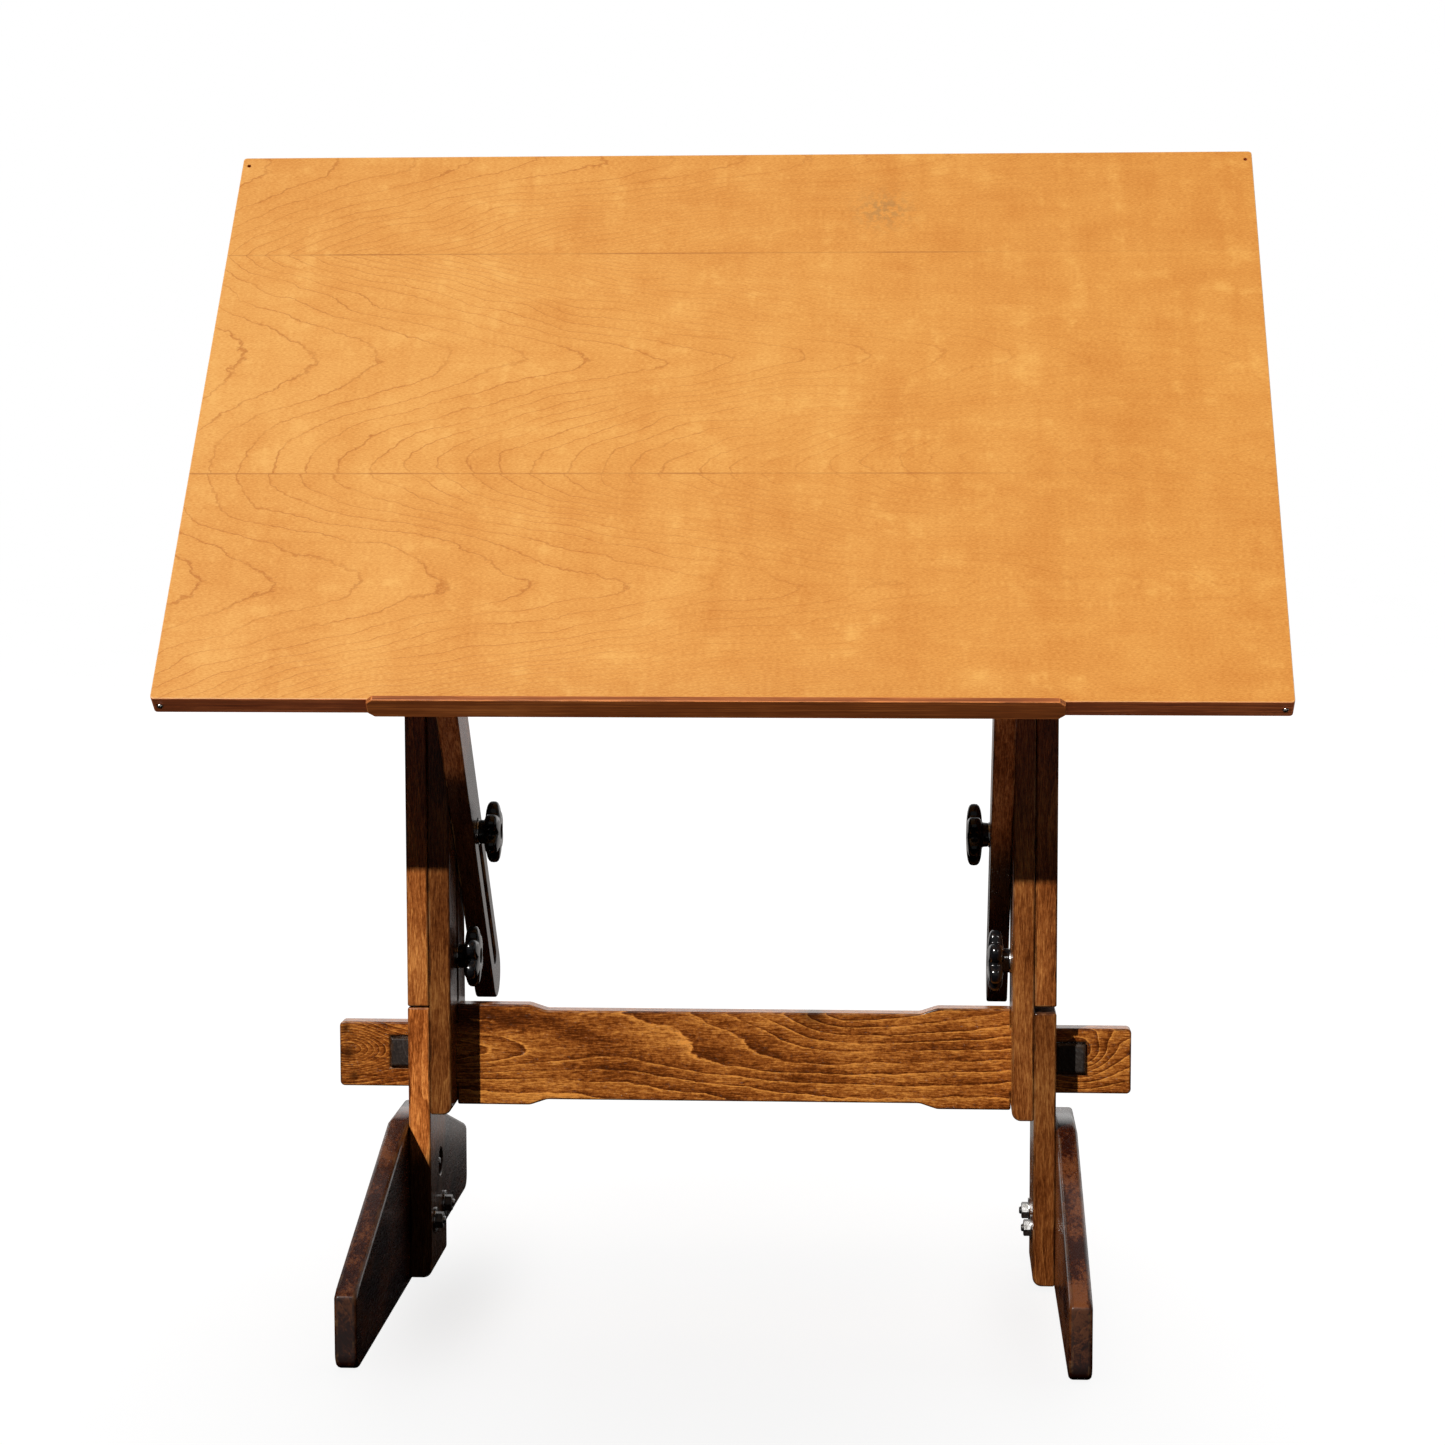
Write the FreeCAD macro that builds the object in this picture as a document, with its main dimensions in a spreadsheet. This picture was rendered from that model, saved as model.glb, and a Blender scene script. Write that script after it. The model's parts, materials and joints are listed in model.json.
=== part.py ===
"""Drafting table: a tilting drawing board on a trestle base of doubled, sliding posts.

World frame, millimetres: X to the user's right, Y away from the user, Z up.  The origin lies on the
floor, midway between the feet and on the centre plane of the posts.  The frame parts at each side lie
in layers, named by their distance from the middle of the table along X.

Two more frames are used.  The board frame has its origin at the middle of the board's front top edge,
Y along the drawing surface and Z square to it.  The strut frame has its origin at the strut's hinge
under the board, with the strut hanging down along its -Z.
"""
import FreeCAD, Part
import os
import Sketcher
from FreeCAD import Placement, Rotation, Vector

doc = FreeCAD.newDocument("DraftingTable")

# ---------------------------------------------------------------------------------------------
# Driving dimensions (mm and degrees)
# ---------------------------------------------------------------------------------------------
SIZES = {
    # layers at each side, as distances from the middle of the table
    "strut_in": 223, "strut_out": 241.5, "guide_in": 241.8, "guide_out": 260.5,
    "post_in": 260.8, "leg_out": 279.5, "foot_out": 298,
    # stock and frame
    "slat_half": 44.5, "leg_bottom": 4.5, "leg_top": 243, "leg_round": 8,
    "guide_bottom": 149, "guide_top": 562, "guide_slot_low": 240, "guide_slot_high": 541,
    "guide_slot_half": 5, "guide_round": 8,
    "post_bottom_left": 244, "post_bottom_right": 248.5,
    # feet
    "foot_half": 310, "foot_top": 143, "toe_height": 61, "toe_round": 14, "toe_bevel": 20,
    # stretcher with through tenons, and the wedges that lock them
    "rail_half": 9, "rail_low": 151, "rail_high": 240, "rail_waist": 5, "waist_out": 178, "waist_in": 163,
    "tenon_low": 166.5, "tenon_high": 223.5, "tenon_end": 345.5, "tenon_round": 4,
    "wedge_gap": 0.3, "wedge_low": 184, "wedge_high": 211, "wedge_front": 13, "wedge_back": 62,
    "wedge_head_left": 21, "wedge_head_right": 27, "wedge_taper": 8, "mortise_in": 276.5,
    # board and pencil ledge, in the board frame
    "board_width": 914, "board_depth": 610, "board_thick": 19, "board_round": 3,
    "hole_side": 451, "hole_along": 600, "hole_radius": 1.6, "hole_depth": 12,
    "ledge_left": 281, "ledge_right": 277, "ledge_thick": 5, "ledge_rise": 5.6, "ledge_drop": 17.4,
    "ledge_bevel": 5, "edge_screw_side": 450, "edge_screw_radius": 2.6,
    # tilt, pivot of the board and hinge of the struts
    "tilt": 49.2, "pivot_z": 630, "pivot_along": 224.4, "pivot_depth": 101,
    "hinge_along": 84, "hinge_depth": 48,
    # struts, in the strut frame
    "strut_lean": 38.94, "strut_half": 23, "strut_length": 401, "strut_slot_half": 7,
    "strut_slot_near": 209.5, "strut_slot_far": 380,
    # clamp bolts, hardware and knobs
    "tilt_clamp_z": 391, "height_clamp_z": 281, "clamp_radius": 3.5, "fit_play": 0.08,
    "pivot_radius": 5, "hinge_radius": 4, "play": 0.1,
    "washer_radius": 11, "washer_thick": 1.5, "nut_radius": 7.5, "nut_thick": 6, "nut_proud": 2,
    "nut_sink": 10, "nut_sink_radius": 11.5,
    "head_radius": 9, "head_top_radius": 5, "head_thick": 4, "head_sink": 4.2, "head_sink_radius": 9.5,
    "hub_radius": 10.5, "hub_length": 5.5, "knob_core": 19, "knob_thick": 13.5,
    "lobe_radius": 8, "lobe_circle": 19, "knob_bore": 16,
    "screw_radius": 2.2, "screw_head": 4.4, "screw_head_thick": 3, "guide_screw_y": 30,
    "guide_screw_low": 158, "guide_screw_high": 232, "guide_screw_tip": 249,
    "cleat_screw_tip": 7,
}
FOOT_BOLTS = [("upper", 13, 95, "nut_sink"), ("rear", 31, 53, "0"), ("front", -23, 51, "0")]
CLEAT_SCREWS = [("front", 56), ("middle", 318), ("rear", 350)]
CLEAT_OUTLINE = [(46, 19), (46, 44), (64, 44), (78, 74), (100, 76), (200, 128), (238, 131),
                 (262, 116), (300, 44), (364, 44), (364, 19)]
LOBES = 6
SIDES = {"left": -1, "right": 1}

sheet = doc.addObject("Spreadsheet::Sheet", "Dims")
for row, (alias, value) in enumerate(SIZES.items(), start=1):
    sheet.set("A%d" % row, alias)
    sheet.set("B%d" % row, str(value))
    sheet.setAlias("B%d" % row, alias)
doc.recompute()


def dim(text):
    """Turn a formula in dimension names into one that reads the sheet."""
    for alias in sorted(SIZES, key=len, reverse=True):
        text = text.replace(alias, "Dims.<<%d>>" % list(SIZES).index(alias))
    for index, alias in enumerate(SIZES):
        text = text.replace("Dims.<<%d>>" % index, "Dims." + alias)
    return text


def bind(item, prop, formula):
    """Tie one property of an object to a formula in dimension names."""
    item.setExpression(prop, dim(formula))


def value_of(formula):
    """Return the number that a formula in dimension names has now."""
    return float(sheet.evalExpression(dim(formula)))


def side_span(side, inner, outer):
    """Return the lowest and highest X of a layer at one side, as formulas."""
    if side == "right":
        return inner, outer
    return "-(%s)" % outer, "-(%s)" % inner


# ---------------------------------------------------------------------------------------------
# Part Design helpers
# ---------------------------------------------------------------------------------------------
def new_body(label):
    body = doc.addObject("PartDesign::Body", label)
    body.Label = label
    return body


def new_sketch(body, name, plane, offset):
    """Add a sketch on one of the body's origin planes, moved along the plane's normal."""
    sketch = body.newObject("Sketcher::SketchObject", body.Name + "_" + name)
    origin_plane = [f for f in body.Origin.OriginFeatures if f.Role == plane][0]
    sketch.AttachmentSupport = [(origin_plane, "")]
    sketch.MapMode = "FlatFace"
    bind(sketch, "AttachmentOffset.Base.z", offset)
    return sketch


def fix_point(sketch, geometry, position, across, up):
    """Hold one point of a sketch at two formulas."""
    for kind, formula in (("DistanceX", across), ("DistanceY", up)):
        index = sketch.addConstraint(Sketcher.Constraint(kind, geometry, position, value_of(formula)))
        bind(sketch, "Constraints[%d]" % index, formula)


def draw_polygon(sketch, corners):
    """Draw a closed outline of straight lines through corners given as pairs of formulas."""
    points = [Vector(value_of(across), value_of(up), 0) for across, up in corners]
    count = len(points)
    for i in range(count):
        sketch.addGeometry(Part.LineSegment(points[i], points[(i + 1) % count]), False)
    for i in range(count):
        sketch.addConstraint(Sketcher.Constraint("Coincident", i, 2, (i + 1) % count, 1))
    for i, (across, up) in enumerate(corners):
        fix_point(sketch, i, 1, across, up)


def draw_box(sketch, low_across, high_across, low_up, high_up):
    draw_polygon(sketch, [(low_across, low_up), (high_across, low_up),
                          (high_across, high_up), (low_across, high_up)])


def draw_circle(sketch, across, up, radius):
    centre = Vector(value_of(across), value_of(up), 0)
    index = sketch.addGeometry(Part.Circle(centre, Vector(0, 0, 1), value_of(radius)), False)
    fix_point(sketch, index, 3, across, up)
    constraint = sketch.addConstraint(Sketcher.Constraint("Radius", index, value_of(radius)))
    bind(sketch, "Constraints[%d]" % constraint, radius)


def pad(body, sketch, length):
    feature = body.newObject("PartDesign::Pad", sketch.Name + "_pad")
    feature.Profile = sketch
    bind(feature, "Length", length)
    doc.recompute()
    return feature


def pocket(body, sketch, length):
    """Cut from the sketch towards the negative side of its plane, and make sure it cuts."""
    before = body.Tip.Shape.Volume
    feature = body.newObject("PartDesign::Pocket", sketch.Name + "_pocket")
    feature.Profile = sketch
    bind(feature, "Length", length)
    doc.recompute()
    if feature.Shape.Volume >= before:
        raise RuntimeError(feature.Name + " cuts nothing")
    return feature


def edges_where(feature, wanted):
    """Name the edges of a feature whose two ends and middle all pass a test."""
    names = []
    for number, edge in enumerate(feature.Shape.Edges, start=1):
        points = [vertex.Point for vertex in edge.Vertexes] + [edge.CenterOfMass]
        if all(wanted(point) for point in points):
            names.append("Edge%d" % number)
    return names


def dress(body, kind, size_name, size, wanted):
    """Fillet or chamfer the edges of the body's tip that pass a test."""
    base = body.Tip
    names = edges_where(base, wanted)
    if not names:
        raise RuntimeError(body.Name + " has no edge to dress")
    feature = body.newObject("PartDesign::" + kind, "%s_%s_%s" % (body.Name, kind, size))
    feature.Base = (base, names)
    bind(feature, size_name, size)
    doc.recompute()
    return feature


def close(number, target):
    return abs(number - target) < 0.01


# ---------------------------------------------------------------------------------------------
# Part primitive helpers
# ---------------------------------------------------------------------------------------------
ALONG_X = Rotation(Vector(0, 1, 0), 90)
ALONG_Y = Rotation(Vector(1, 0, 0), -90)
ALONG_Z = Rotation()


def place(item, rotation, across, along, up):
    item.Placement = Placement(Vector(), rotation)
    bind(item, "Placement.Base.x", across)
    bind(item, "Placement.Base.y", along)
    bind(item, "Placement.Base.z", up)


def cylinder(name, rotation, across, along, up, radius, height):
    item = doc.addObject("Part::Cylinder", name)
    bind(item, "Radius", radius)
    bind(item, "Height", height)
    place(item, rotation, across, along, up)
    return item


def side_cylinder(name, side, inner, outer, along, up, radius):
    """A cylinder along X that fills one layer at one side."""
    low, high = side_span(side, inner, outer)
    return cylinder(name, ALONG_X, low, along, up, radius, "(%s)-(%s)" % (high, low))


def side_cone(name, side, inner, outer, along, up, inner_radius, outer_radius):
    """A truncated cone along X that fills one layer at one side."""
    low, high = side_span(side, inner, outer)
    radii = (inner_radius, outer_radius) if side == "right" else (outer_radius, inner_radius)
    item = doc.addObject("Part::Cone", name)
    bind(item, "Radius1", radii[0])
    bind(item, "Radius2", radii[1])
    bind(item, "Height", "(%s)-(%s)" % (high, low))
    place(item, ALONG_X, low, along, up)
    return item


def side_nut(name, side, inner, outer, along, up):
    """A hexagonal prism along X that fills one layer at one side."""
    low, high = side_span(side, inner, outer)
    item = doc.addObject("Part::Prism", name)
    item.Polygon = 6
    bind(item, "Circumradius", "nut_radius")
    bind(item, "Height", "(%s)-(%s)" % (high, low))
    place(item, ALONG_X, low, along, up)
    return item


def fuse(name, items):
    joined = doc.addObject("Part::MultiFuse", name)
    joined.Shapes = items
    joined.Label = name
    return joined


def cut(name, base, tool):
    result = doc.addObject("Part::Cut", name)
    result.Base = base
    result.Tool = tool
    result.Label = name
    return result


nodes = {}


def keep(item, solids=1):
    """List an object as a finished sub-part with the number of solids that it must have."""
    nodes[item.Label] = (item, solids)
    return item


# ---------------------------------------------------------------------------------------------
# Placements of the tilted pieces
# ---------------------------------------------------------------------------------------------
BOARD_Y = "-pivot_along*cos(tilt)-pivot_depth*sin(tilt)"
BOARD_Z = "pivot_z-pivot_along*sin(tilt)+pivot_depth*cos(tilt)"
HINGE_Y = "(%s)+hinge_along*cos(tilt)+hinge_depth*sin(tilt)" % BOARD_Y
HINGE_Z = "(%s)+hinge_along*sin(tilt)-hinge_depth*cos(tilt)" % BOARD_Z


def tip(item, along, up, angle):
    """Turn a piece about X and move its origin, all by formula."""
    item.Placement = Placement(Vector(), Rotation(Vector(1, 0, 0), value_of(angle)))
    bind(item, "Placement.Rotation.Angle", angle)
    bind(item, "Placement.Base.y", along)
    bind(item, "Placement.Base.z", up)


def on_board(item):
    tip(item, BOARD_Y, BOARD_Z, "tilt")
    return item


# ---------------------------------------------------------------------------------------------
# Base: feet, legs, guide posts and stretcher
# ---------------------------------------------------------------------------------------------
def layer_pad(body, side, name, inner, outer, corners):
    """Pad an outline in the Y-Z plane through one layer at one side."""
    low, high = side_span(side, inner, outer)
    sketch = new_sketch(body, name, "YZ_Plane", low)
    draw_polygon(sketch, corners)
    return pad(body, sketch, "(%s)-(%s)" % (high, low))


def layer_round_pad(body, side, name, inner, outer, along, up, radius):
    low, high = side_span(side, inner, outer)
    sketch = new_sketch(body, name, "YZ_Plane", low)
    draw_circle(sketch, along, up, radius)
    return pad(body, sketch, "(%s)-(%s)" % (high, low))


def layer_hole(body, side, name, inner, outer, along, up, radius):
    """Cut a round hole along X right through one layer."""
    low, high = side_span(side, inner, outer)
    sketch = new_sketch(body, name, "YZ_Plane", "(%s)+1" % high)
    draw_circle(sketch, along, up, radius)
    return pocket(body, sketch, "(%s)-(%s)+2" % (high, low))


def layer_window(body, side, name, inner, outer, corners):
    """Cut a straight-sided hole along X right through one layer."""
    low, high = side_span(side, inner, outer)
    sketch = new_sketch(body, name, "YZ_Plane", "(%s)+1" % high)
    draw_polygon(sketch, corners)
    return pocket(body, sketch, "(%s)-(%s)+2" % (high, low))


def box_corners(low_along, high_along, low_up, high_up):
    return [(low_along, low_up), (high_along, low_up), (high_along, high_up), (low_along, high_up)]


def layer_slot(body, side, name, inner, outer, half, low_end, high_end):
    """Cut an upright slot with round ends, whose end centres are low_end and high_end."""
    layer_window(body, side, name, inner, outer, box_corners("-" + half, half, low_end, high_end))
    layer_hole(body, side, name + "_low", inner, outer, "0", low_end, half)
    layer_hole(body, side, name + "_high", inner, outer, "0", high_end, half)


TENON_WINDOW = box_corners("-rail_half", "rail_half", "tenon_low", "tenon_high")


def make_foot(side):
    body = new_body("foot_" + side)
    half_outline = [("foot_half", "0"), ("foot_half", "toe_height"),
                    ("foot_half-toe_bevel/2", "toe_height+toe_bevel/4"), ("slat_half", "foot_top")]
    mirrored = [("-(%s)" % along, up) for along, up in reversed(half_outline)]
    layer_pad(body, side, "outline", "leg_out", "foot_out", half_outline + mirrored)
    toe_end, top = value_of("foot_half"), value_of("toe_height")
    dress(body, "Fillet", "Radius", "toe_round",
          lambda p: close(abs(p.y), toe_end) and close(p.z, 0))
    dress(body, "Fillet", "Radius", "toe_round/3",
          lambda p: close(abs(p.y), toe_end) and close(p.z, top))
    for name, along, up, _ in FOOT_BOLTS:
        layer_hole(body, side, name, "leg_out", "foot_out", str(along), str(up), "clamp_radius+play")
    return keep(body)


def make_leg(side):
    body = new_body("leg_" + side)
    layer_pad(body, side, "outline", "guide_out", "leg_out",
              box_corners("-slat_half", "slat_half", "leg_bottom", "leg_top"))
    inner = SIDES[side] * value_of("guide_out")
    bottom = value_of("leg_bottom")
    dress(body, "Fillet", "Radius", "leg_round", lambda p: close(p.x, inner) and close(p.z, bottom))
    layer_window(body, side, "mortise", "guide_out", "leg_out", TENON_WINDOW)
    for name, along, up, sink in FOOT_BOLTS:
        layer_hole(body, side, name, "guide_out", "leg_out", str(along), str(up), "clamp_radius+play")
        if value_of(sink) > 0:
            layer_hole(body, side, name + "_sink", "guide_out", "guide_out+%s-1" % sink,
                       str(along), str(up), "nut_sink_radius")
    for name, along, up in guide_screw_places():
        layer_hole(body, side, name, "guide_out", "leg_out", along, up, "screw_head")
    return keep(body)


def guide_screw_places():
    """Name the four screws that hold a guide post to its leg, with their places."""
    return [(front + "_" + level, sign + "guide_screw_y", "guide_screw_" + level)
            for front, sign in (("front", "-"), ("back", "")) for level in ("low", "high")]


def make_guide(side):
    body = new_body("guide_post_" + side)
    layer_pad(body, side, "outline", "guide_in", "guide_out",
              box_corners("-slat_half", "slat_half", "guide_bottom", "guide_top"))
    inner = SIDES[side] * value_of("guide_in")
    bottom, top = value_of("guide_bottom"), value_of("guide_top")
    half = value_of("slat_half")
    dress(body, "Fillet", "Radius", "guide_round", lambda p: close(p.x, inner) and close(p.z, bottom))
    dress(body, "Fillet", "Radius", "guide_round*2", lambda p: close(abs(p.y), half) and close(p.z, top))
    layer_window(body, side, "mortise", "guide_in", "guide_out", TENON_WINDOW)
    layer_slot(body, side, "slot", "guide_in", "guide_out",
               "guide_slot_half", "guide_slot_low+guide_slot_half", "guide_slot_high")
    for name, along, up in guide_screw_places():
        layer_hole(body, side, name, "guide_in+5", "guide_out", along, up, "screw_radius")
    return keep(body)


def make_stretcher():
    body = new_body("stretcher")
    right_top = [("tenon_end", "tenon_low"), ("tenon_end", "tenon_high"), ("guide_in", "tenon_high"),
                 ("guide_in", "rail_high"), ("waist_out", "rail_high"),
                 ("waist_in", "rail_high-rail_waist")]
    right_low = [("waist_in", "rail_low+rail_waist"), ("waist_out", "rail_low"),
                 ("guide_in", "rail_low"), ("guide_in", "tenon_low")]
    right = right_low + right_top
    left = [("-(%s)" % across, up) for across, up in reversed(right)]
    sketch = new_sketch(body, "outline", "XZ_Plane", "-rail_half")
    draw_polygon(sketch, right + left)
    pad(body, sketch, "2*rail_half")
    tip_x = value_of("tenon_end")
    waist = value_of("waist_in"), value_of("waist_out")
    dress(body, "Fillet", "Radius", "tenon_round",
          lambda p: close(abs(p.x), tip_x) and not close(p.z, value_of("(tenon_low+tenon_high)/2")))
    dress(body, "Fillet", "Radius", "tenon_round*3",
          lambda p: close(abs(p.x), waist[0]) or close(abs(p.x), waist[1]))
    for side, sign in (("left", "-"), ("right", "")):
        back, front = wedge_face(side, "rail_half+1"), wedge_face(side, "-rail_half-1")
        mortise = new_sketch(body, "mortise_" + side, "XY_Plane", "wedge_high+wedge_gap")
        draw_polygon(mortise, [(sign + "mortise_in", "-rail_half-1"),
                               ("%s(%s+wedge_gap)" % (sign, front), "-rail_half-1"),
                               ("%s(%s+wedge_gap)" % (sign, back), "rail_half+1"),
                               (sign + "mortise_in", "rail_half+1")])
        pocket(body, mortise, "wedge_high-wedge_low+2*wedge_gap")
    return keep(body)


def wedge_face(side, along):
    """Distance of a wedge's sloping outer face from the middle of the table, at a place along Y."""
    slope = "(wedge_taper/(wedge_front+wedge_back))"
    return "(leg_out+wedge_gap+wedge_head_%s-%s*((%s)+wedge_front))" % (side, slope, along)


def make_wedge(side):
    body = new_body("wedge_" + side)
    sign = "-" if side == "left" else ""
    sketch = new_sketch(body, "outline", "XY_Plane", "wedge_low")
    draw_polygon(sketch, [(sign + "(leg_out+wedge_gap)", "-wedge_front"),
                          (sign + wedge_face(side, "-wedge_front"), "-wedge_front"),
                          (sign + wedge_face(side, "wedge_back"), "wedge_back"),
                          (sign + "(leg_out+wedge_gap)", "wedge_back")])
    pad(body, sketch, "wedge_high-wedge_low")
    front, back = -value_of("wedge_front"), value_of("wedge_back")
    dress(body, "Chamfer", "Size", "wedge_gap*8", lambda p: close(p.y, front) or close(p.y, back))
    return keep(body)


# ---------------------------------------------------------------------------------------------
# Sliding posts and tilt struts
# ---------------------------------------------------------------------------------------------
def make_post(side):
    body = new_body("sliding_post_" + side)
    bottom = "post_bottom_" + side
    layer_pad(body, side, "outline", "post_in", "leg_out",
              box_corners("-slat_half", "slat_half", bottom, "pivot_z"))
    layer_round_pad(body, side, "crown", "post_in", "leg_out", "0", "pivot_z", "slat_half")
    layer_hole(body, side, "pivot", "post_in", "leg_out", "0", "pivot_z", "pivot_radius+fit_play")
    for name in ("tilt_clamp_z", "height_clamp_z"):
        layer_hole(body, side, name, "post_in", "leg_out", "0", name, "clamp_radius")
        layer_hole(body, side, name + "_sink", "leg_out-head_sink+1", "leg_out", "0", name,
                   "head_sink_radius")
    return keep(body)


def make_strut(side):
    body = new_body("tilt_strut_" + side)
    layer = (side, "strut_in", "strut_out")
    layer_pad(body, side, "shank", "strut_in", "strut_out",
              box_corners("-strut_half", "strut_half", "-strut_length", "0"))
    layer_round_pad(body, side, "upper_end", *layer[1:], "0", "0", "strut_half")
    layer_round_pad(body, side, "lower_end", *layer[1:], "0", "-strut_length", "strut_half")
    layer_hole(body, side, "hinge", *layer[1:], "0", "0", "hinge_radius+fit_play")
    layer_slot(body, side, "slot", *layer[1:], "strut_slot_half", "-strut_slot_far", "-strut_slot_near")
    tip(body, HINGE_Y, HINGE_Z, "strut_lean")
    return keep(body)


# ---------------------------------------------------------------------------------------------
# Board, pencil ledge and cleats, in the board frame
# ---------------------------------------------------------------------------------------------
def make_board():
    body = new_body("drawing_board")
    sketch = new_sketch(body, "outline", "XY_Plane", "-board_thick")
    draw_box(sketch, "-board_width/2", "board_width/2", "0", "board_depth")
    pad(body, sketch, "board_thick")
    half, depth = value_of("board_width/2"), value_of("board_depth")
    dress(body, "Fillet", "Radius", "board_round",
          lambda p: close(abs(p.x), half) and (close(p.y, 0) or close(p.y, depth)))
    for side, sign in (("left", "-"), ("right", "")):
        hole = new_sketch(body, "hole_" + side, "XY_Plane", "0")
        draw_circle(hole, sign + "hole_side", "hole_along", "hole_radius")
        pocket(body, hole, "hole_depth")
    return keep(on_board(body))


def make_ledge():
    body = new_body("pencil_ledge")
    sketch = new_sketch(body, "outline", "XZ_Plane", "0")
    left, right = "-ledge_left", "ledge_right"
    draw_polygon(sketch, [(left + "+ledge_bevel", "-ledge_drop"), (right + "-ledge_bevel", "-ledge_drop"),
                          (right, "-ledge_drop+ledge_bevel"), (right, "ledge_rise-ledge_bevel"),
                          (right + "-ledge_bevel", "ledge_rise"), (left + "+ledge_bevel", "ledge_rise"),
                          (left, "ledge_rise-ledge_bevel"), (left, "-ledge_drop+ledge_bevel")])
    pad(body, sketch, "ledge_thick")
    return keep(on_board(body))


def make_cleat(side):
    body = new_body("cleat_" + side)
    layer_pad(body, side, "outline", "guide_in", "guide_out",
              [(str(along), str(-depth)) for along, depth in CLEAT_OUTLINE])
    layer_hole(body, side, "pivot", "guide_in", "guide_out", "pivot_along", "-pivot_depth", "pivot_radius")
    layer_hole(body, side, "hinge", "guide_in", "guide_out", "hinge_along", "-hinge_depth", "hinge_radius")
    return keep(on_board(body))


# ---------------------------------------------------------------------------------------------
# Hardware
# ---------------------------------------------------------------------------------------------
def make_foot_hardware():
    bolts, washers, nuts = [], [], []
    for side in SIDES:
        for name, along, up, sink in FOOT_BOLTS:
            place_at = (str(along), str(up))
            seat = "(guide_out+%s)" % sink
            nut_face = "(%s-washer_thick)" % seat
            tag = "foot_%s_%s" % (side, name)
            shank = side_cylinder(tag + "_shank", side, nut_face + "-nut_thick-nut_proud", "foot_out",
                                  *place_at, "clamp_radius")
            head = side_cone(tag + "_head", side, "foot_out", "foot_out+head_thick", *place_at,
                             "head_radius", "head_top_radius")
            bolts.append(fuse(tag + "_bolt", [shank, head]))
            ring = side_cylinder(tag + "_ring", side, nut_face, seat, *place_at, "washer_radius")
            bore = side_cylinder(tag + "_ring_bore", side, nut_face + "-1", seat + "+1", *place_at,
                                 "clamp_radius+play")
            washers.append(cut(tag + "_washer", ring, bore))
            hexagon = side_nut(tag + "_hexagon", side, nut_face + "-nut_thick", nut_face, *place_at)
            thread = side_cylinder(tag + "_thread", side, nut_face + "-nut_thick-1", nut_face + "+1",
                                   *place_at, "clamp_radius+play/2")
            nuts.append(cut(tag + "_nut", hexagon, thread))
    for label, items in (("foot_bolts", bolts), ("foot_washers", washers), ("foot_nuts", nuts)):
        keep(fuse(label, items), len(items))


def make_guide_screws():
    screws = []
    for side in SIDES:
        for name, along, up in guide_screw_places():
            tag = "guide_screw_%s_%s" % (side, name)
            shank = side_cylinder(tag + "_shank", side, "guide_in+5", "guide_out", along, up, "screw_radius")
            head = side_cylinder(tag + "_head", side, "guide_out", "leg_out", along, up, "screw_head")
            screws.append(fuse(tag, [shank, head]))
    keep(fuse("guide_screws", screws), len(screws))


def make_clamp_bolts(label, height, threaded_end):
    """Carriage bolts across the posts, with sunk heads, each ending inside its knob."""
    bolts = []
    for side in SIDES:
        tag = "%s_%s" % (label, side)
        seat = "(leg_out-head_sink)"
        shank = side_cylinder(tag + "_shank", side, threaded_end, seat, "0", height, "clamp_radius")
        head = side_cone(tag + "_head", side, seat, seat + "+head_thick", "0", height,
                         "head_radius", "head_top_radius")
        bolts.append(fuse(tag, [shank, head]))
    keep(fuse(label, bolts), len(bolts))


def make_rings(label, height_along, height_up, inner, outer, radius, bore):
    """One ring at each side, filling one layer on a bolt."""
    rings = []
    for side in SIDES:
        tag = "%s_%s" % (label, side)
        ring = side_cylinder(tag + "_disc", side, inner, outer, height_along, height_up, radius)
        hole = side_cylinder(tag + "_bore", side, "(%s)-1" % inner, "(%s)+1" % outer,
                             height_along, height_up, bore)
        rings.append(cut(tag, ring, hole))
    return keep(fuse(label, rings), len(rings))


def make_nuts(label, along, up, inner, bore):
    """One hexagonal nut at each side, with its outer face nut_thick beyond the inner one."""
    nuts = []
    outer = "(%s)+nut_thick" % inner
    for side in SIDES:
        tag = "%s_%s" % (label, side)
        hexagon = side_nut(tag + "_hexagon", side, inner, outer, along, up)
        hole = side_cylinder(tag + "_bore", side, "(%s)-1" % inner, "(%s)+1" % outer, along, up, bore)
        nuts.append(cut(tag, hexagon, hole))
    return keep(fuse(label, nuts), len(nuts))


def make_cross_bolts(label, along, up, inner, outer, radius):
    """Bolts along X with a low round head on the outer end."""
    bolts = []
    for side in SIDES:
        tag = "%s_%s" % (label, side)
        shank = side_cylinder(tag + "_shank", side, inner, outer, along, up, radius)
        head = side_cone(tag + "_head", side, outer, "(%s)+head_thick" % outer, along, up,
                         "head_radius", "head_top_radius")
        bolts.append(fuse(tag, [shank, head]))
    return keep(fuse(label, bolts), len(bolts))


def make_cleat_screws():
    """Screws from the shallow ends of the cleats up into the board."""
    screws = []
    for side in SIDES:
        middle = side_span(side, "guide_in+9", "guide_in+9")[0]
        for name, along in CLEAT_SCREWS:
            tag = "cleat_screw_%s_%s" % (side, name)
            shank = cylinder(tag + "_shank", ALONG_Z, middle, str(along), "-44", "screw_radius",
                             "44-cleat_screw_tip")
            head = cylinder(tag + "_head", ALONG_Z, middle, str(along), "-44-screw_head_thick/2",
                            "screw_head", "screw_head_thick/2")
            screws.append(fuse(tag, [shank, head]))
    keep(on_board(fuse("cleat_screws", screws)), len(screws))


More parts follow.
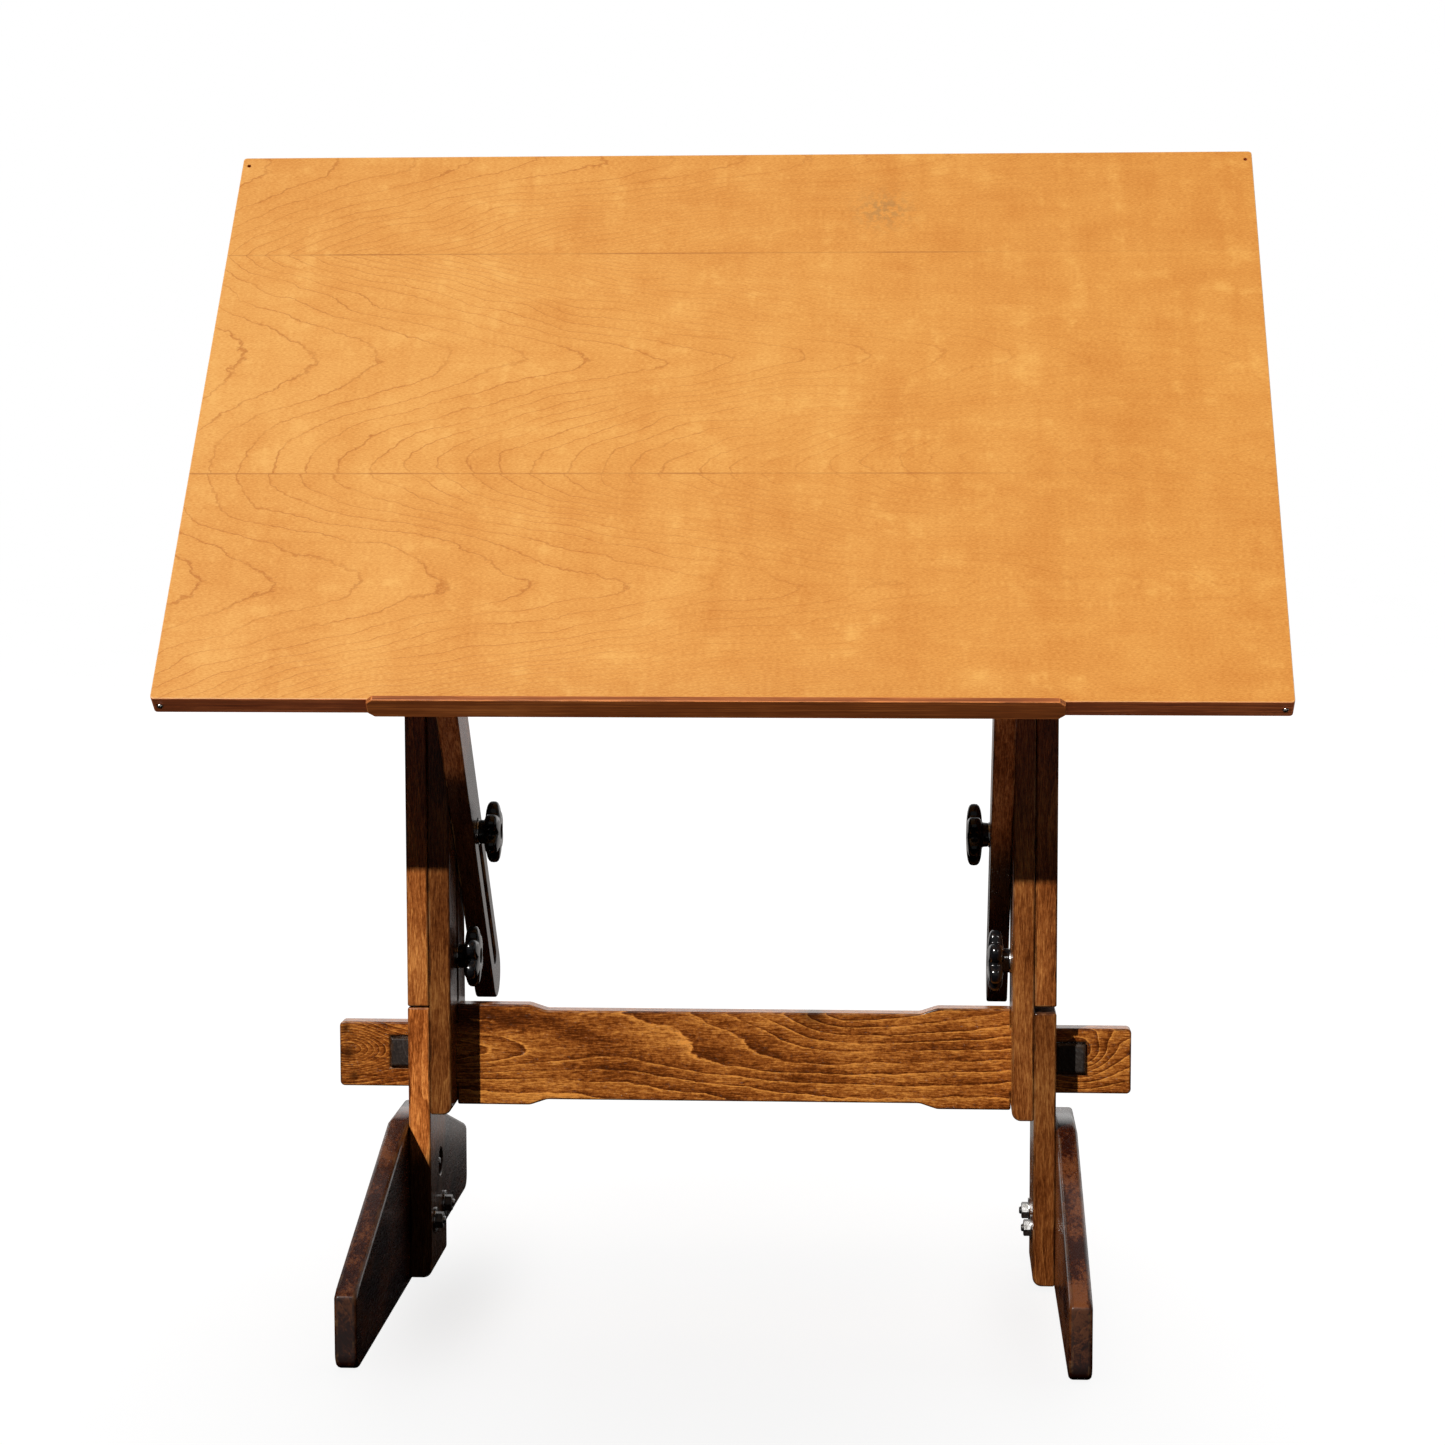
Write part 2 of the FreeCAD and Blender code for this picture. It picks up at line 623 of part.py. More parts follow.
def make_edge_screws():
    """Two small round-head screws near the ends of the board's front edge."""
    screws = []
    for side, sign in (("left", "-"), ("right", "")):
        tag = "edge_screw_" + side
        shank = cylinder(tag + "_shank", ALONG_Y, sign + "edge_screw_side", "0", "-board_thick/2",
                         "edge_screw_radius/2", "hole_depth")
        head = cylinder(tag + "_head", ALONG_Y, sign + "edge_screw_side", "-screw_head_thick/2",
                        "-board_thick/2", "edge_screw_radius", "screw_head_thick/2")
        screws.append(fuse(tag, [shank, head]))
    keep(on_board(fuse("edge_screws", screws)), len(screws))


def make_knob(label, side, height, base):
    """A lobed clamp knob whose hub starts at base and whose head lies towards the middle."""
    hub_end = "(%s-hub_length)" % base
    face = "(%s-knob_thick)" % hub_end
    hub = side_cylinder(label + "_hub", side, hub_end, base, "0", height, "hub_radius")
    core = side_cylinder(label + "_core", side, face, hub_end, "0", height, "knob_core")
    lobes = []
    for number in range(LOBES):
        angle = "%d*360/%d" % (number, LOBES)
        lobes.append(side_cylinder("%s_lobe%d" % (label, number), side, face, hub_end,
                                   "lobe_circle*sin(%s)" % angle, "%s+lobe_circle*cos(%s)" % (height, angle),
                                   "lobe_radius"))
    solid = fuse(label + "_solid", [hub, core] + lobes)
    bore = side_cylinder(label + "_bore", side, "%s-knob_bore" % base, "%s+1" % base, "0", height,
                         "clamp_radius+fit_play")
    return keep(cut(label, solid, bore))


# ---------------------------------------------------------------------------------------------
# The table
# ---------------------------------------------------------------------------------------------
TILT_KNOB_BASE = "(strut_in-2*play-washer_thick-play)"
HEIGHT_KNOB_BASE = "(guide_in-play-washer_thick-play)"

for table_side in SIDES:
    make_foot(table_side)
    make_leg(table_side)
    make_guide(table_side)
    make_wedge(table_side)
    make_post(table_side)
    make_strut(table_side)
    make_cleat(table_side)
    make_knob("tilt_knob_" + table_side, table_side, "tilt_clamp_z", TILT_KNOB_BASE)
    make_knob("height_knob_" + table_side, table_side, "height_clamp_z", HEIGHT_KNOB_BASE)
make_stretcher()
make_board()
make_ledge()
make_edge_screws()
make_cleat_screws()
make_foot_hardware()
make_guide_screws()

make_clamp_bolts("tilt_bolts", "tilt_clamp_z", TILT_KNOB_BASE + "-knob_bore+1")
make_clamp_bolts("height_bolts", "height_clamp_z", HEIGHT_KNOB_BASE + "-knob_bore+1")
make_rings("tilt_washers", "0", "tilt_clamp_z", "strut_in-2*play-washer_thick", "strut_in-2*play",
           "washer_radius", "clamp_radius+play")
make_rings("height_washers", "0", "height_clamp_z", "guide_in-play-washer_thick", "guide_in-play",
           "washer_radius", "clamp_radius+play")

make_cross_bolts("pivot_bolts", "0", "pivot_z", "guide_in-washer_thick-nut_thick-nut_proud",
                 "leg_out+2*play", "pivot_radius")
make_rings("pivot_washers", "0", "pivot_z", "guide_in-washer_thick", "guide_in",
           "washer_radius", "pivot_radius+play")
make_nuts("pivot_nuts", "0", "pivot_z", "guide_in-washer_thick-nut_thick", "pivot_radius+play/2")
make_cross_bolts("hinge_bolts", HINGE_Y, HINGE_Z, "strut_in-2*play-nut_thick-nut_proud",
                 "guide_out", "hinge_radius")
make_nuts("hinge_nuts", HINGE_Y, HINGE_Z, "strut_in-2*play-nut_thick", "hinge_radius+play/2")

# ---------------------------------------------------------------------------------------------
# Checks and export
# ---------------------------------------------------------------------------------------------
doc.recompute()
for item in doc.Objects:
    if "Invalid" in item.State or "Error" in item.State:
        raise RuntimeError("%s did not compute: %s" % (item.Name, item.State))
for label, (item, solids) in nodes.items():
    shape = item.Shape
    if shape.isNull() or not shape.isValid():
        raise RuntimeError(label + " has no valid shape")
    if len(shape.Solids) != solids:
        raise RuntimeError("%s has %d solids, not %d" % (label, len(shape.Solids), solids))

os.makedirs("parts", exist_ok=True)
for label, (item, solids) in nodes.items():
    item.Shape.exportStep("parts/%s.step" % label)
print("%d nodes written" % len(nodes))
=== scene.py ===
"""Looks of the drafting table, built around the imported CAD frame.

Metres, in the frame of the CAD: X to the user's right, Y away from the user, Z up.  Every shown piece
stands for one CAD node.  Wooden parts are their CAD shapes with eased, worn edges, and the knobs, bolts,
nuts, washers and screws are built here in the places that the CAD gives them.
"""

import json
import math

import bmesh
import bpy
from mathutils import Matrix, Vector


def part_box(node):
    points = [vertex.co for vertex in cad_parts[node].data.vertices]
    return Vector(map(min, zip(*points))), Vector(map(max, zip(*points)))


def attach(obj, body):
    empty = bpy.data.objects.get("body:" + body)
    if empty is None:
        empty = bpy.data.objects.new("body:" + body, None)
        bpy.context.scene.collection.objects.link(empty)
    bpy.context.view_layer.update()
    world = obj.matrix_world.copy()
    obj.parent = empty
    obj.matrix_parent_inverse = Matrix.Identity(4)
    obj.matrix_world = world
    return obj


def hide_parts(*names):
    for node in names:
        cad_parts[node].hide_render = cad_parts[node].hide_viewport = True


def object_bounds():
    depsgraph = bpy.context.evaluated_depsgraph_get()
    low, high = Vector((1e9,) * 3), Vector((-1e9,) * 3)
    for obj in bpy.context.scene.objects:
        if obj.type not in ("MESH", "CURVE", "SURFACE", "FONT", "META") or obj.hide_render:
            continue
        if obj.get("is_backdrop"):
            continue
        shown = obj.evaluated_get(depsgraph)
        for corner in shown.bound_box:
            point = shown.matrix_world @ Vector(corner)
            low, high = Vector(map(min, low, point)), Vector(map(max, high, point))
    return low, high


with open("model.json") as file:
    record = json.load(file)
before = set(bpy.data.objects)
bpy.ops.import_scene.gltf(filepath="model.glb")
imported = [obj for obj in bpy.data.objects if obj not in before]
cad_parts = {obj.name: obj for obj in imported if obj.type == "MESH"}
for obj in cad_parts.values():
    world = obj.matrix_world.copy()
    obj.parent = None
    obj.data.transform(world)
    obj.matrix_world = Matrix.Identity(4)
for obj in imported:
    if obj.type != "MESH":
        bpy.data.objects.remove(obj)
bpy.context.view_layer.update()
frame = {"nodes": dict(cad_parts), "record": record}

MM = 0.001
SIDES = {"left": -1, "right": 1}
BODY_OF = {node: body for body, nodes in frame["record"]["behaviour"]["bodies"].items()
           for node in nodes}
ALONG_X, ALONG_Y, ALONG_Z = Vector((1, 0, 0)), Vector((0, 1, 0)), Vector((0, 0, 1))

# The board: its slope and sizes, and the middle of its front top edge.
BOARD_TILT = math.radians(49.2)
BOARD_THICK = 19 * MM
BOARD_DEPTH = 610 * MM
UP_BOARD = Vector((0, math.cos(BOARD_TILT), math.sin(BOARD_TILT)))
OFF_BOARD = Vector((0, -math.sin(BOARD_TILT), math.cos(BOARD_TILT)))
board_low, board_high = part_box("drawing_board")
BOARD_ORIGIN = Vector((0, board_low.y, board_low.z + BOARD_THICK * OFF_BOARD.z))
# The tilt struts lean back as they go down from the board.
STRUT_LEAN = math.radians(38.94)
DOWN_STRUT = Vector((0, math.sin(STRUT_LEAN), -math.cos(STRUT_LEAN)))

# How bright a white surface is in the key light, for a part that faces it squarely, and in the fill.
KEY_LIGHT = 1.24
FILL_LIGHT = 0.05
TOWARDS_KEY = Vector((-0.59, -1.0, 0.914)).normalized()


# ---------------------------------------------------------------------------------------------
# Colours and material nodes
# ---------------------------------------------------------------------------------------------
def linear(red, green, blue):
    """A colour given in 0 to 255 display values, as linear light."""
    def one(value):
        value /= 255
        return value / 12.92 if value <= 0.04045 else ((value + 0.055) / 1.055) ** 2.4
    return Vector((one(red), one(green), one(blue)))


def paint(red, green, blue, facing=None):
    """The colour of a surface that looks like this when it faces that way in the scene's light."""
    light = 1.0
    if facing is not None:
        light = FILL_LIGHT + KEY_LIGHT * max(0.0, Vector(facing).normalized().dot(TOWARDS_KEY))
    return linear(red, green, blue) / light


class Graph:
    """The node tree of one material, with a short call for each kind of node."""

    def __init__(self, name):
        self.material = bpy.data.materials.new(name)
        self.material.use_nodes = True
        self.tree = self.material.node_tree
        self.shader = self.tree.nodes["Principled BSDF"]

    def put(self, socket, value):
        if isinstance(value, bpy.types.NodeSocket):
            self.tree.links.new(value, socket)
        elif socket.type == "RGBA":
            socket.default_value = (*value[:3], 1)
        else:
            socket.default_value = value

    def node(self, kind, inputs, **settings):
        made = self.tree.nodes.new("ShaderNode" + kind)
        for key, value in settings.items():
            setattr(made, key, value)
        for key, value in inputs.items():
            self.put(made.inputs[key], value)
        return made

    def math(self, operation, *values):
        return self.node("Math", dict(enumerate(values)), operation=operation).outputs[0]

    def add(self, *values):
        total = values[0]
        for value in values[1:]:
            total = self.math("ADD", total, value)
        return total

    def times(self, *values):
        total = values[0]
        for value in values[1:]:
            total = self.math("MULTIPLY", total, value)
        return total

    def scaled(self, value, gain, offset=0.0):
        return self.math("MULTIPLY_ADD", value, gain, offset)

    def point(self, x, y, z):
        return self.node("CombineXYZ", {0: x, 1: y, 2: z}).outputs[0]

    def spread(self, *pairs):
        """A point for a noise, from (place, features per millimetre) pairs."""
        places = [self.times(place, rate) for place, rate in pairs]
        return self.point(*(places + [0.0])[:3])

    def noise(self, point, detail=3.0, rough=0.55, seed=0.0):
        """Noise from 0 to 1, mostly near a half, with features about one unit of the point across."""
        made = self.node("TexNoise", {"Vector": point, "W": seed, "Scale": 1.0, "Detail": detail,
                                      "Roughness": rough}, noise_dimensions="4D")
        return made.outputs[0]

    def swing(self, point, gain, detail=3.0, rough=0.55, seed=0.0):
        """Noise either side of nought, of about half the gain."""
        return self.scaled(self.noise(point, detail, rough, seed), 2 * gain, -gain)

    def step(self, value, start, end, low=0.0, high=1.0):
        """A smooth change from low to high as the value goes from start to end."""
        made = self.node("MapRange", {"Value": value, "From Min": start, "From Max": end, "To Min": low,
                                      "To Max": high}, interpolation_type="SMOOTHSTEP")
        return made.outputs[0]

    def hump(self, value, middle, width):
        """1 at the middle, falling off to nought over a few widths."""
        offset = self.math("DIVIDE", self.math("SUBTRACT", value, middle), width)
        return self.math("DIVIDE", 1.0, self.math("MULTIPLY_ADD", offset, offset, 1.0))

    def bell(self, *pairs):
        """A bell in several coordinates at once, from (value, middle, width) triples."""
        squares = []
        for value, middle, width in pairs:
            offset = self.math("DIVIDE", self.math("SUBTRACT", value, middle), width)
            squares.append(self.times(offset, offset))
        return self.math("EXPONENT", self.times(self.add(*squares), -1.0))

    def mix(self, factor, first, second, blend="MIX"):
        made = self.node("Mix", {0: factor, 6: first, 7: second}, data_type="RGBA", blend_type=blend,
                         clamp_factor=True)
        return made.outputs[2]

    def ramp(self, value, stops):
        made = self.node("ValToRGB", {0: value})
        ramp = made.color_ramp
        while len(ramp.elements) < len(stops):
            ramp.elements.new(0.5)
        for element, (place, colour) in zip(ramp.elements, stops):
            element.position = place
            element.color = (*colour, 1) if hasattr(colour, "__len__") else (colour,) * 3 + (1,)
        return made.outputs[0]

    def local(self, centre, *axes):
        """Places on the piece in millimetres from a centre, along each of the axes."""
        place = self.node("TexCoord", {}).outputs["Object"]
        place = self.node("VectorMath", {0: place, 1: centre}, operation="SUBTRACT").outputs[0]
        return [self.times(self.node("VectorMath", {0: place, 1: axis}, operation="DOT_PRODUCT")
                           .outputs["Value"], 1 / MM) for axis in axes]

    def facing(self, axis):
        """From 0 to 1, how squarely the surface faces along or against an axis of the piece."""
        normal = self.node("TexCoord", {}).outputs["Normal"]
        dot = self.node("VectorMath", {0: normal, 1: axis}, operation="DOT_PRODUCT").outputs["Value"]
        return self.math("ABSOLUTE", dot)

    def bump(self, height, distance, strength=1.0):
        made = self.node("Bump", {"Height": height, "Distance": distance, "Strength": strength})
        self.put(self.shader.inputs["Normal"], made.outputs[0])

    def finish(self, colour, roughness, **constants):
        """Feed the shader; the constants are set on its own sockets."""
        self.put(self.shader.inputs["Base Color"], colour)
        self.put(self.shader.inputs["Roughness"], roughness)
        for key, value in constants.items():
            self.shader.inputs[key.replace("_", " ")].default_value = value
        return self.material


# ---------------------------------------------------------------------------------------------
# Wood
# ---------------------------------------------------------------------------------------------
FRONT = (0, -1, 0)
STAIN = {"dark": (92, 43, 11), "mid": (140, 78, 33), "light": (186, 122, 62)}
RED_STAIN, RUBBED_WOOD, GRIME = (84, 33, 20), (196, 140, 84), (26, 12, 7)
# Light late wood, a dark start of the next ring, then a slow climb back to the light.
RING_TONES = [(0.0, 0.9), (0.05, 0.08), (0.32, 0.36), (0.78, 0.5), (0.92, 0.64), (1.0, 1.0)]


def stained_wood(name, centre, along, across, seed, shade=1.0, spacing=7.0, pith=(10.0, 60.0), lean=0.05,
                 wander=14.0, ring_gain=0.15, fibre_gain=1.1, blotch_gain=0.5, red=0.0, rings=None,
                 tint=(1.0, 1.0, 1.0), fall=None, mottle=0.25, knots=()):
    """Stained and varnished softwood, where the hard late wood of each ring stays light.

    The grain runs along one axis of the piece.  The rings are circles round a pith beside it, unless
    another pattern of rings is given.  Painted shade, where given, is where along the grain the colour
    starts and ends getting darker, and what share of it is left there.  Knots are given by their place and
    size."""
    g = Graph(name)
    x, y, z = g.local(centre, along, across, along.cross(across))
    slow = g.swing(g.spread((x, 0.006), (y, 0.03), (z, 0.03)), wander, 2.0, 0.5, seed)
    fine = g.swing(g.spread((x, 0.03), (y, 0.12), (z, 0.12)), 0.14 * wander, 3.0, 0.6, seed + 3)
    if rings is None:
        off_y, off_z = g.add(y, -pith[0]), g.add(z, -pith[1])
        reach = g.math("SQRT", g.add(g.times(off_y, off_y), g.times(off_z, off_z)))
        rings_at = g.times(g.add(reach, g.times(x, lean), slow, fine), 1 / spacing)
    else:
        rings_at = g.add(rings(g, x, y, z), g.times(g.add(slow, fine), 0.5 / spacing))
    ring = g.ramp(g.math("FRACT", rings_at), RING_TONES)
    fade = g.step(g.noise(g.spread((x, 0.012), (y, 0.05), (z, 0.05)), 2.0, 0.5, seed + 5),
                  0.3, 0.6, 0.35, 1.0)
    coarse = g.swing(g.spread((x, 0.06), (y, 0.40), (z, 0.40)), 1.0, 5.0, 0.78, seed + 7)
    thin = g.swing(g.spread((x, 0.10), (y, 1.3), (z, 1.3)), 1.0, 3.0, 0.75, seed + 9)
    speck = g.swing(g.spread((x, 0.22), (y, 0.34), (z, 0.34)), 1.0, 5.0, 0.8, seed + 10)
    blotch = g.swing(g.spread((x, 0.012), (y, 0.035), (z, 0.035)), 1.0, 4.0, 0.6, seed + 11)
    tone = g.add(0.5, g.times(g.add(ring, -0.5), fade, 2 * ring_gain),
                 g.times(coarse, fibre_gain * 0.34), g.times(thin, fibre_gain * 0.55),
                 g.times(speck, mottle), g.times(blotch, blotch_gain))
    dark, mid, light = (paint(*STAIN[key], FRONT) * shade for key in ("dark", "mid", "light"))
    colour = g.ramp(tone, [(0.0, dark * 0.45), (0.25, dark), (0.5, mid), (0.78, light),
                           (1.0, light * 1.3)])
    if red:
        colour = g.mix(red, colour, paint(*RED_STAIN, FRONT) * shade)
    colour = g.mix(1.0, colour, tint, "MULTIPLY")
    for knot_x, knot_y, size in knots:
        ragged_x, ragged_y = g.add(x, g.times(speck, 2.0)), g.add(y, g.times(coarse, 2.0))
        spot = g.bell((ragged_x, knot_x, size), (ragged_y, knot_y, size))
        colour = g.mix(g.times(spot, 0.85), colour, dark * 0.25)
    # Painted shade: the colour darkens along the grain from start to stop, down to the share that is left.
    if fall:
        start, stop, left = fall
        colour = g.mix(g.step(x, start, stop), colour, g.mix(1.0, colour, (left,) * 3, "MULTIPLY"))
    # End grain drinks more stain and shows the rings as fine arcs.
    end = g.step(g.facing(along), 0.75, 0.95, 0.0, 0.8)
    arcs = g.ramp(ring, [(0.0, 0.16), (1.0, 0.62)])
    colour = g.mix(end, colour, g.mix(1.0, colour, arcs, "MULTIPLY"))
    # Eased edges: paler where rubbed through the varnish, a little darker all along, and dark handling
    # marks.
    worn = g.node("Attribute", {}, attribute_name="worn").outputs["Fac"]
    patch = g.noise(g.spread((x, 0.03), (y, 0.08), (z, 0.08)), 4.0, 0.65, seed + 13)
    rubbed = g.times(worn, g.step(patch, 0.5, 0.66))
    rubbed_colour = paint(*RUBBED_WOOD, FRONT) * min(1.0, shade * 1.1)
    colour = g.mix(g.times(rubbed, 0.45), colour, rubbed_colour)
    grime = g.times(worn, g.step(patch, 0.5, 0.36))
    colour = g.mix(g.add(g.times(worn, 0.30), g.times(grime, 0.45)), colour, paint(*GRIME, FRONT))
    # Open pores: short dark dashes along the grain.
    pores = g.noise(g.spread((x, 0.22), (y, 2.6), (z, 2.6)), 1.0, 0.5, seed + 15)
    pores = g.step(pores, 0.66, 0.74)
    colour = g.mix(g.times(pores, 0.35), colour, dark * 0.4)
    rough = g.add(0.27, g.times(thin, 0.12), g.times(coarse, 0.08), g.times(rubbed, 0.25),
                  g.times(end, 0.6))
    g.put(g.shader.inputs["Coat Weight"], g.scaled(end, -0.45, 0.35))
    height = g.add(g.times(thin, 0.35), g.times(coarse, 0.35), g.times(ring, 0.25), g.times(pores, -0.8))
    g.bump(height, 0.00018, 0.55)
    return g.finish(colour, rough, Specular_IOR_Level=0.35, Coat_Roughness=0.16)


def stretcher_rings(g, x, y, z):
    """The figure of the stretcher: tongues at its left, a knot at its top edge, and curls in the tenons."""
    tongues = g.times(g.bell((x, -330.0, 150.0), (y, 2.0, 18.0)), 6.0)
    swoosh = g.times(g.bell((x, -20.0, 90.0), (y, -6.0, 14.0)), 0.9)
    # The rings round the knot are steep on its left and drawn out on its right.
    from_knot = g.add(x, -100.0)
    dx = g.times(from_knot, g.step(from_knot, -10.0, 10.0, 1 / 25, 1 / 85))
    dy = g.times(g.add(y, -46.0), 1 / 16)
    away = g.math("SQRT", g.add(g.times(dx, dx), g.times(dy, dy)))
    knot = g.times(g.math("EXPONENT", g.times(away, -0.25)), 9.0)
    left_curl = g.times(g.bell((x, -338.0, 30.0), (y, 4.0, 26.0)), 6.5)
    right_curl = g.times(g.bell((x, 300.0, 26.0), (y, 6.0, 20.0)), 4.5)
    ragged = g.add(g.swing(g.spread((x, 0.09), (y, 0.22)), 0.13, 3.0, 0.6, 21.0),
                   g.swing(g.spread((x, 0.018), (y, 0.05)), 0.45, 2.0, 0.5, 23.0))
    return g.add(g.times(y, 0.045), g.times(z, 0.12), tongues, swoosh, knot, left_curl, right_curl,
                 ragged)


def veneer(name):
    """Honey-coloured birch veneer in three leaves, with long flames in the left half."""
    g = Graph(name)
    x, v = g.local(BOARD_ORIGIN, ALONG_X, UP_BOARD)
    half, upper_seam, lower_seam, seam_width = 457.0, 488.0, 235.0, 0.3
    ring_spacing, upper_start, lower_start = 31.0, 552.0, 583.0
    # The upper leaf mirrors the middle one.  Each flame has its point where its width is greatest.
    folded = g.math("SUBTRACT", upper_seam, g.math("ABSOLUTE", g.add(v, -upper_seam)))
    sway = g.swing(g.spread((x, 0.006), (v, 0.014)), 26.0, 2.0, 0.5, 4.0)
    folded = g.add(folded, sway)
    width = g.add(g.times(g.hump(folded, 366.0, 66.0), 1.75), g.times(g.hump(folded, 116.0, 62.0), 2.1),
                  0.10)
    # The leaves were cut from different places, so the rings don't meet at the lower seam.
    start = g.step(v, lower_seam - seam_width, lower_seam + seam_width, lower_start, upper_start)
    reach = g.math("DIVIDE", g.add(x, start), g.times(width, ring_spacing))
    reach = g.add(reach, g.swing(g.spread((x, 0.012), (v, 0.02)), 0.55, 3.0, 0.55, 1.0),
                  g.swing(g.spread((x, 0.11), (v, 0.16)), 0.22, 4.0, 0.65, 2.0))
    ring = g.math("FRACT", reach)
    line = g.math("MAXIMUM", g.step(ring, 0.0, 0.06, 1.0, 0.0), g.step(ring, 0.95, 1.0))
    body = g.step(ring, 0.0, 0.55, 1.0, 0.0)
    present = g.times(g.step(x, -250.0, 330.0, 1.0, 0.38),
                      g.step(g.noise(g.spread((x, 0.011), (v, 0.02)), 3.0, 0.6, 6.0),
                             0.34, 0.6, 0.35, 1.0))
    # Light that the fibres throw back in bands across the leaf, and fine flecks.
    bands = g.swing(g.spread((x, 0.016), (v, 0.0045)), 1.0, 3.0, 0.55, 8.0)
    ripple = g.swing(g.spread((x, 0.07), (v, 0.012)), 1.0, 2.0, 0.5, 9.0)
    fleck = g.swing(g.spread((x, 0.30), (v, 1.1)), 1.0, 3.0, 0.7, 10.0)
    streak = g.swing(g.spread((x, 0.010), (v, 0.22)), 1.0, 4.0, 0.6, 12.0)
    leaf = g.add(g.step(v, upper_seam - seam_width, upper_seam + seam_width, 0.0, -0.05),
                 g.step(v, lower_seam - seam_width, lower_seam + seam_width, -0.06, 0.0))
    shine = g.step(g.noise(g.spread((x, 0.022), (v, 0.03)), 4.0, 0.7, 13.0), 0.5, 0.68)
    cloud = g.swing(g.spread((x, 0.018), (v, 0.030)), 1.0, 4.0, 0.6, 15.0)
    tone = g.add(0.51, g.times(bands, 0.4), g.times(ripple, 0.12), g.times(fleck, 1.2),
                 g.times(shine, ripple, 0.6), g.times(shine, 0.24), g.times(streak, 0.20),
                 g.times(cloud, 0.36), leaf, g.step(x, -half, half, 0.09, -0.09),
                 g.times(body, present, -0.10))
    colour = g.ramp(tone, [(0.0, paint(214, 138, 64, OFF_BOARD)), (0.5, paint(232, 163, 87, OFF_BOARD)),
                           (1.0, paint(245, 184, 108, OFF_BOARD))])
    tint = g.mix(g.step(x, -half, half), (1.0, 0.975, 0.84), (0.965, 0.905, 0.67))
    colour = g.mix(1.0, colour, tint, "MULTIPLY")
    colour = g.mix(g.times(line, present, 0.62), colour, paint(182, 102, 38, OFF_BOARD))
    for seam in (upper_seam, lower_seam):
        near = g.step(g.math("ABSOLUTE", g.add(v, -seam)), 0.3, 1.2, 1.0, 0.0)
        patchy = g.noise(g.point(g.times(x, 0.008), seam, 0.0), 3.0, 0.6, 14.0)
        patchy = g.times(g.step(patchy, 0.4, 0.6, 0.3, 0.9), g.step(x, 140.0, 260.0, 1.0, 0.2))
        colour = g.mix(g.times(near, patchy, 0.62), colour, paint(160, 92, 40, OFF_BOARD))
    # A faint grey mark, and a few small scratches and dents from use.
    mark = g.times(g.bell((x, 128.0, 22.0), (v, 540.0, 20.0)),
                   g.step(g.noise(g.spread((x, 0.16), (v, 0.16)), 3.0, 0.6, 16.0),
                          0.42, 0.58))
    colour = g.mix(g.times(mark, 0.48), colour, paint(150, 116, 74, OFF_BOARD))
    specks = g.step(g.noise(g.spread((x, 0.35), (v, 0.35)), 2.0, 0.5, 18.0), 0.74, 0.80)
    colour = g.mix(g.times(specks, 0.35), colour, paint(150, 86, 38, OFF_BOARD))
    worn = g.node("Attribute", {}, attribute_name="worn").outputs["Fac"]
    colour = g.mix(g.times(worn, 0.35), colour, paint(250, 206, 150, OFF_BOARD))
    rough = g.add(0.40, g.times(fleck, 0.06), g.times(bands, 0.04), g.times(line, -0.05))
    height = g.add(g.times(fleck, 0.25), g.times(line, present, -0.8), g.times(specks, -0.8))
    g.bump(height, 0.00012, 0.5)
    return g.finish(colour, rough, Specular_IOR_Level=0.35, Coat_Weight=0.12, Coat_Roughness=0.3)


def banding(name, dark, mid, light, seed):
    """The edge strip and the pencil ledge: reddish wood with fine straight grain along X."""
    g = Graph(name)
    x, v, w = g.local(BOARD_ORIGIN, ALONG_X, UP_BOARD, OFF_BOARD)
    streak = g.swing(g.spread((x, 0.007), (v, 0.5), (w, 0.5)), 1.0, 4.0, 0.65, seed)
    fibre = g.swing(g.spread((x, 0.035), (v, 1.8), (w, 1.8)), 1.0, 3.0, 0.65, seed + 1)
    blotch = g.swing(g.spread((x, 0.010), (v, 0.05), (w, 0.05)), 1.0, 3.0, 0.6, seed + 2)
    # The thin glue lines between the layers of the core show through the strip.
    layers = g.math("FRACT", g.add(g.times(w, 1 / 4.75), 0.5))
    glue = g.times(g.step(g.math("ABSOLUTE", g.add(layers, -0.5)), 0.03, 0.09, 1.0, 0.0),
                   g.step(g.noise(g.point(g.times(x, 0.01), 0.0, 0.0), 3.0, 0.6, seed + 3), 0.35, 0.6))
    tone = g.add(0.5, g.times(streak, 0.7), g.times(fibre, 0.4), g.times(blotch, 0.4),
                 g.times(glue, -0.28))
    colour = g.ramp(tone, [(0.0, dark), (0.5, mid), (1.0, light)])
    worn = g.node("Attribute", {}, attribute_name="worn").outputs["Fac"]
    patch = g.noise(g.spread((x, 0.02), (v, 0.1), (w, 0.1)), 4.0, 0.6, seed + 4)
    colour = g.mix(g.times(worn, g.step(patch, 0.42, 0.6, 0.1, 0.6)), colour, light * 1.5)
    rough = g.add(0.33, g.times(fibre, 0.10), g.times(streak, 0.05))
    g.bump(g.add(g.times(fibre, 0.4), g.times(streak, 0.4), g.times(glue, -0.6)), 0.00015, 0.5)
    return g.finish(colour, rough, Specular_IOR_Level=0.4, Coat_Weight=0.3, Coat_Roughness=0.2)


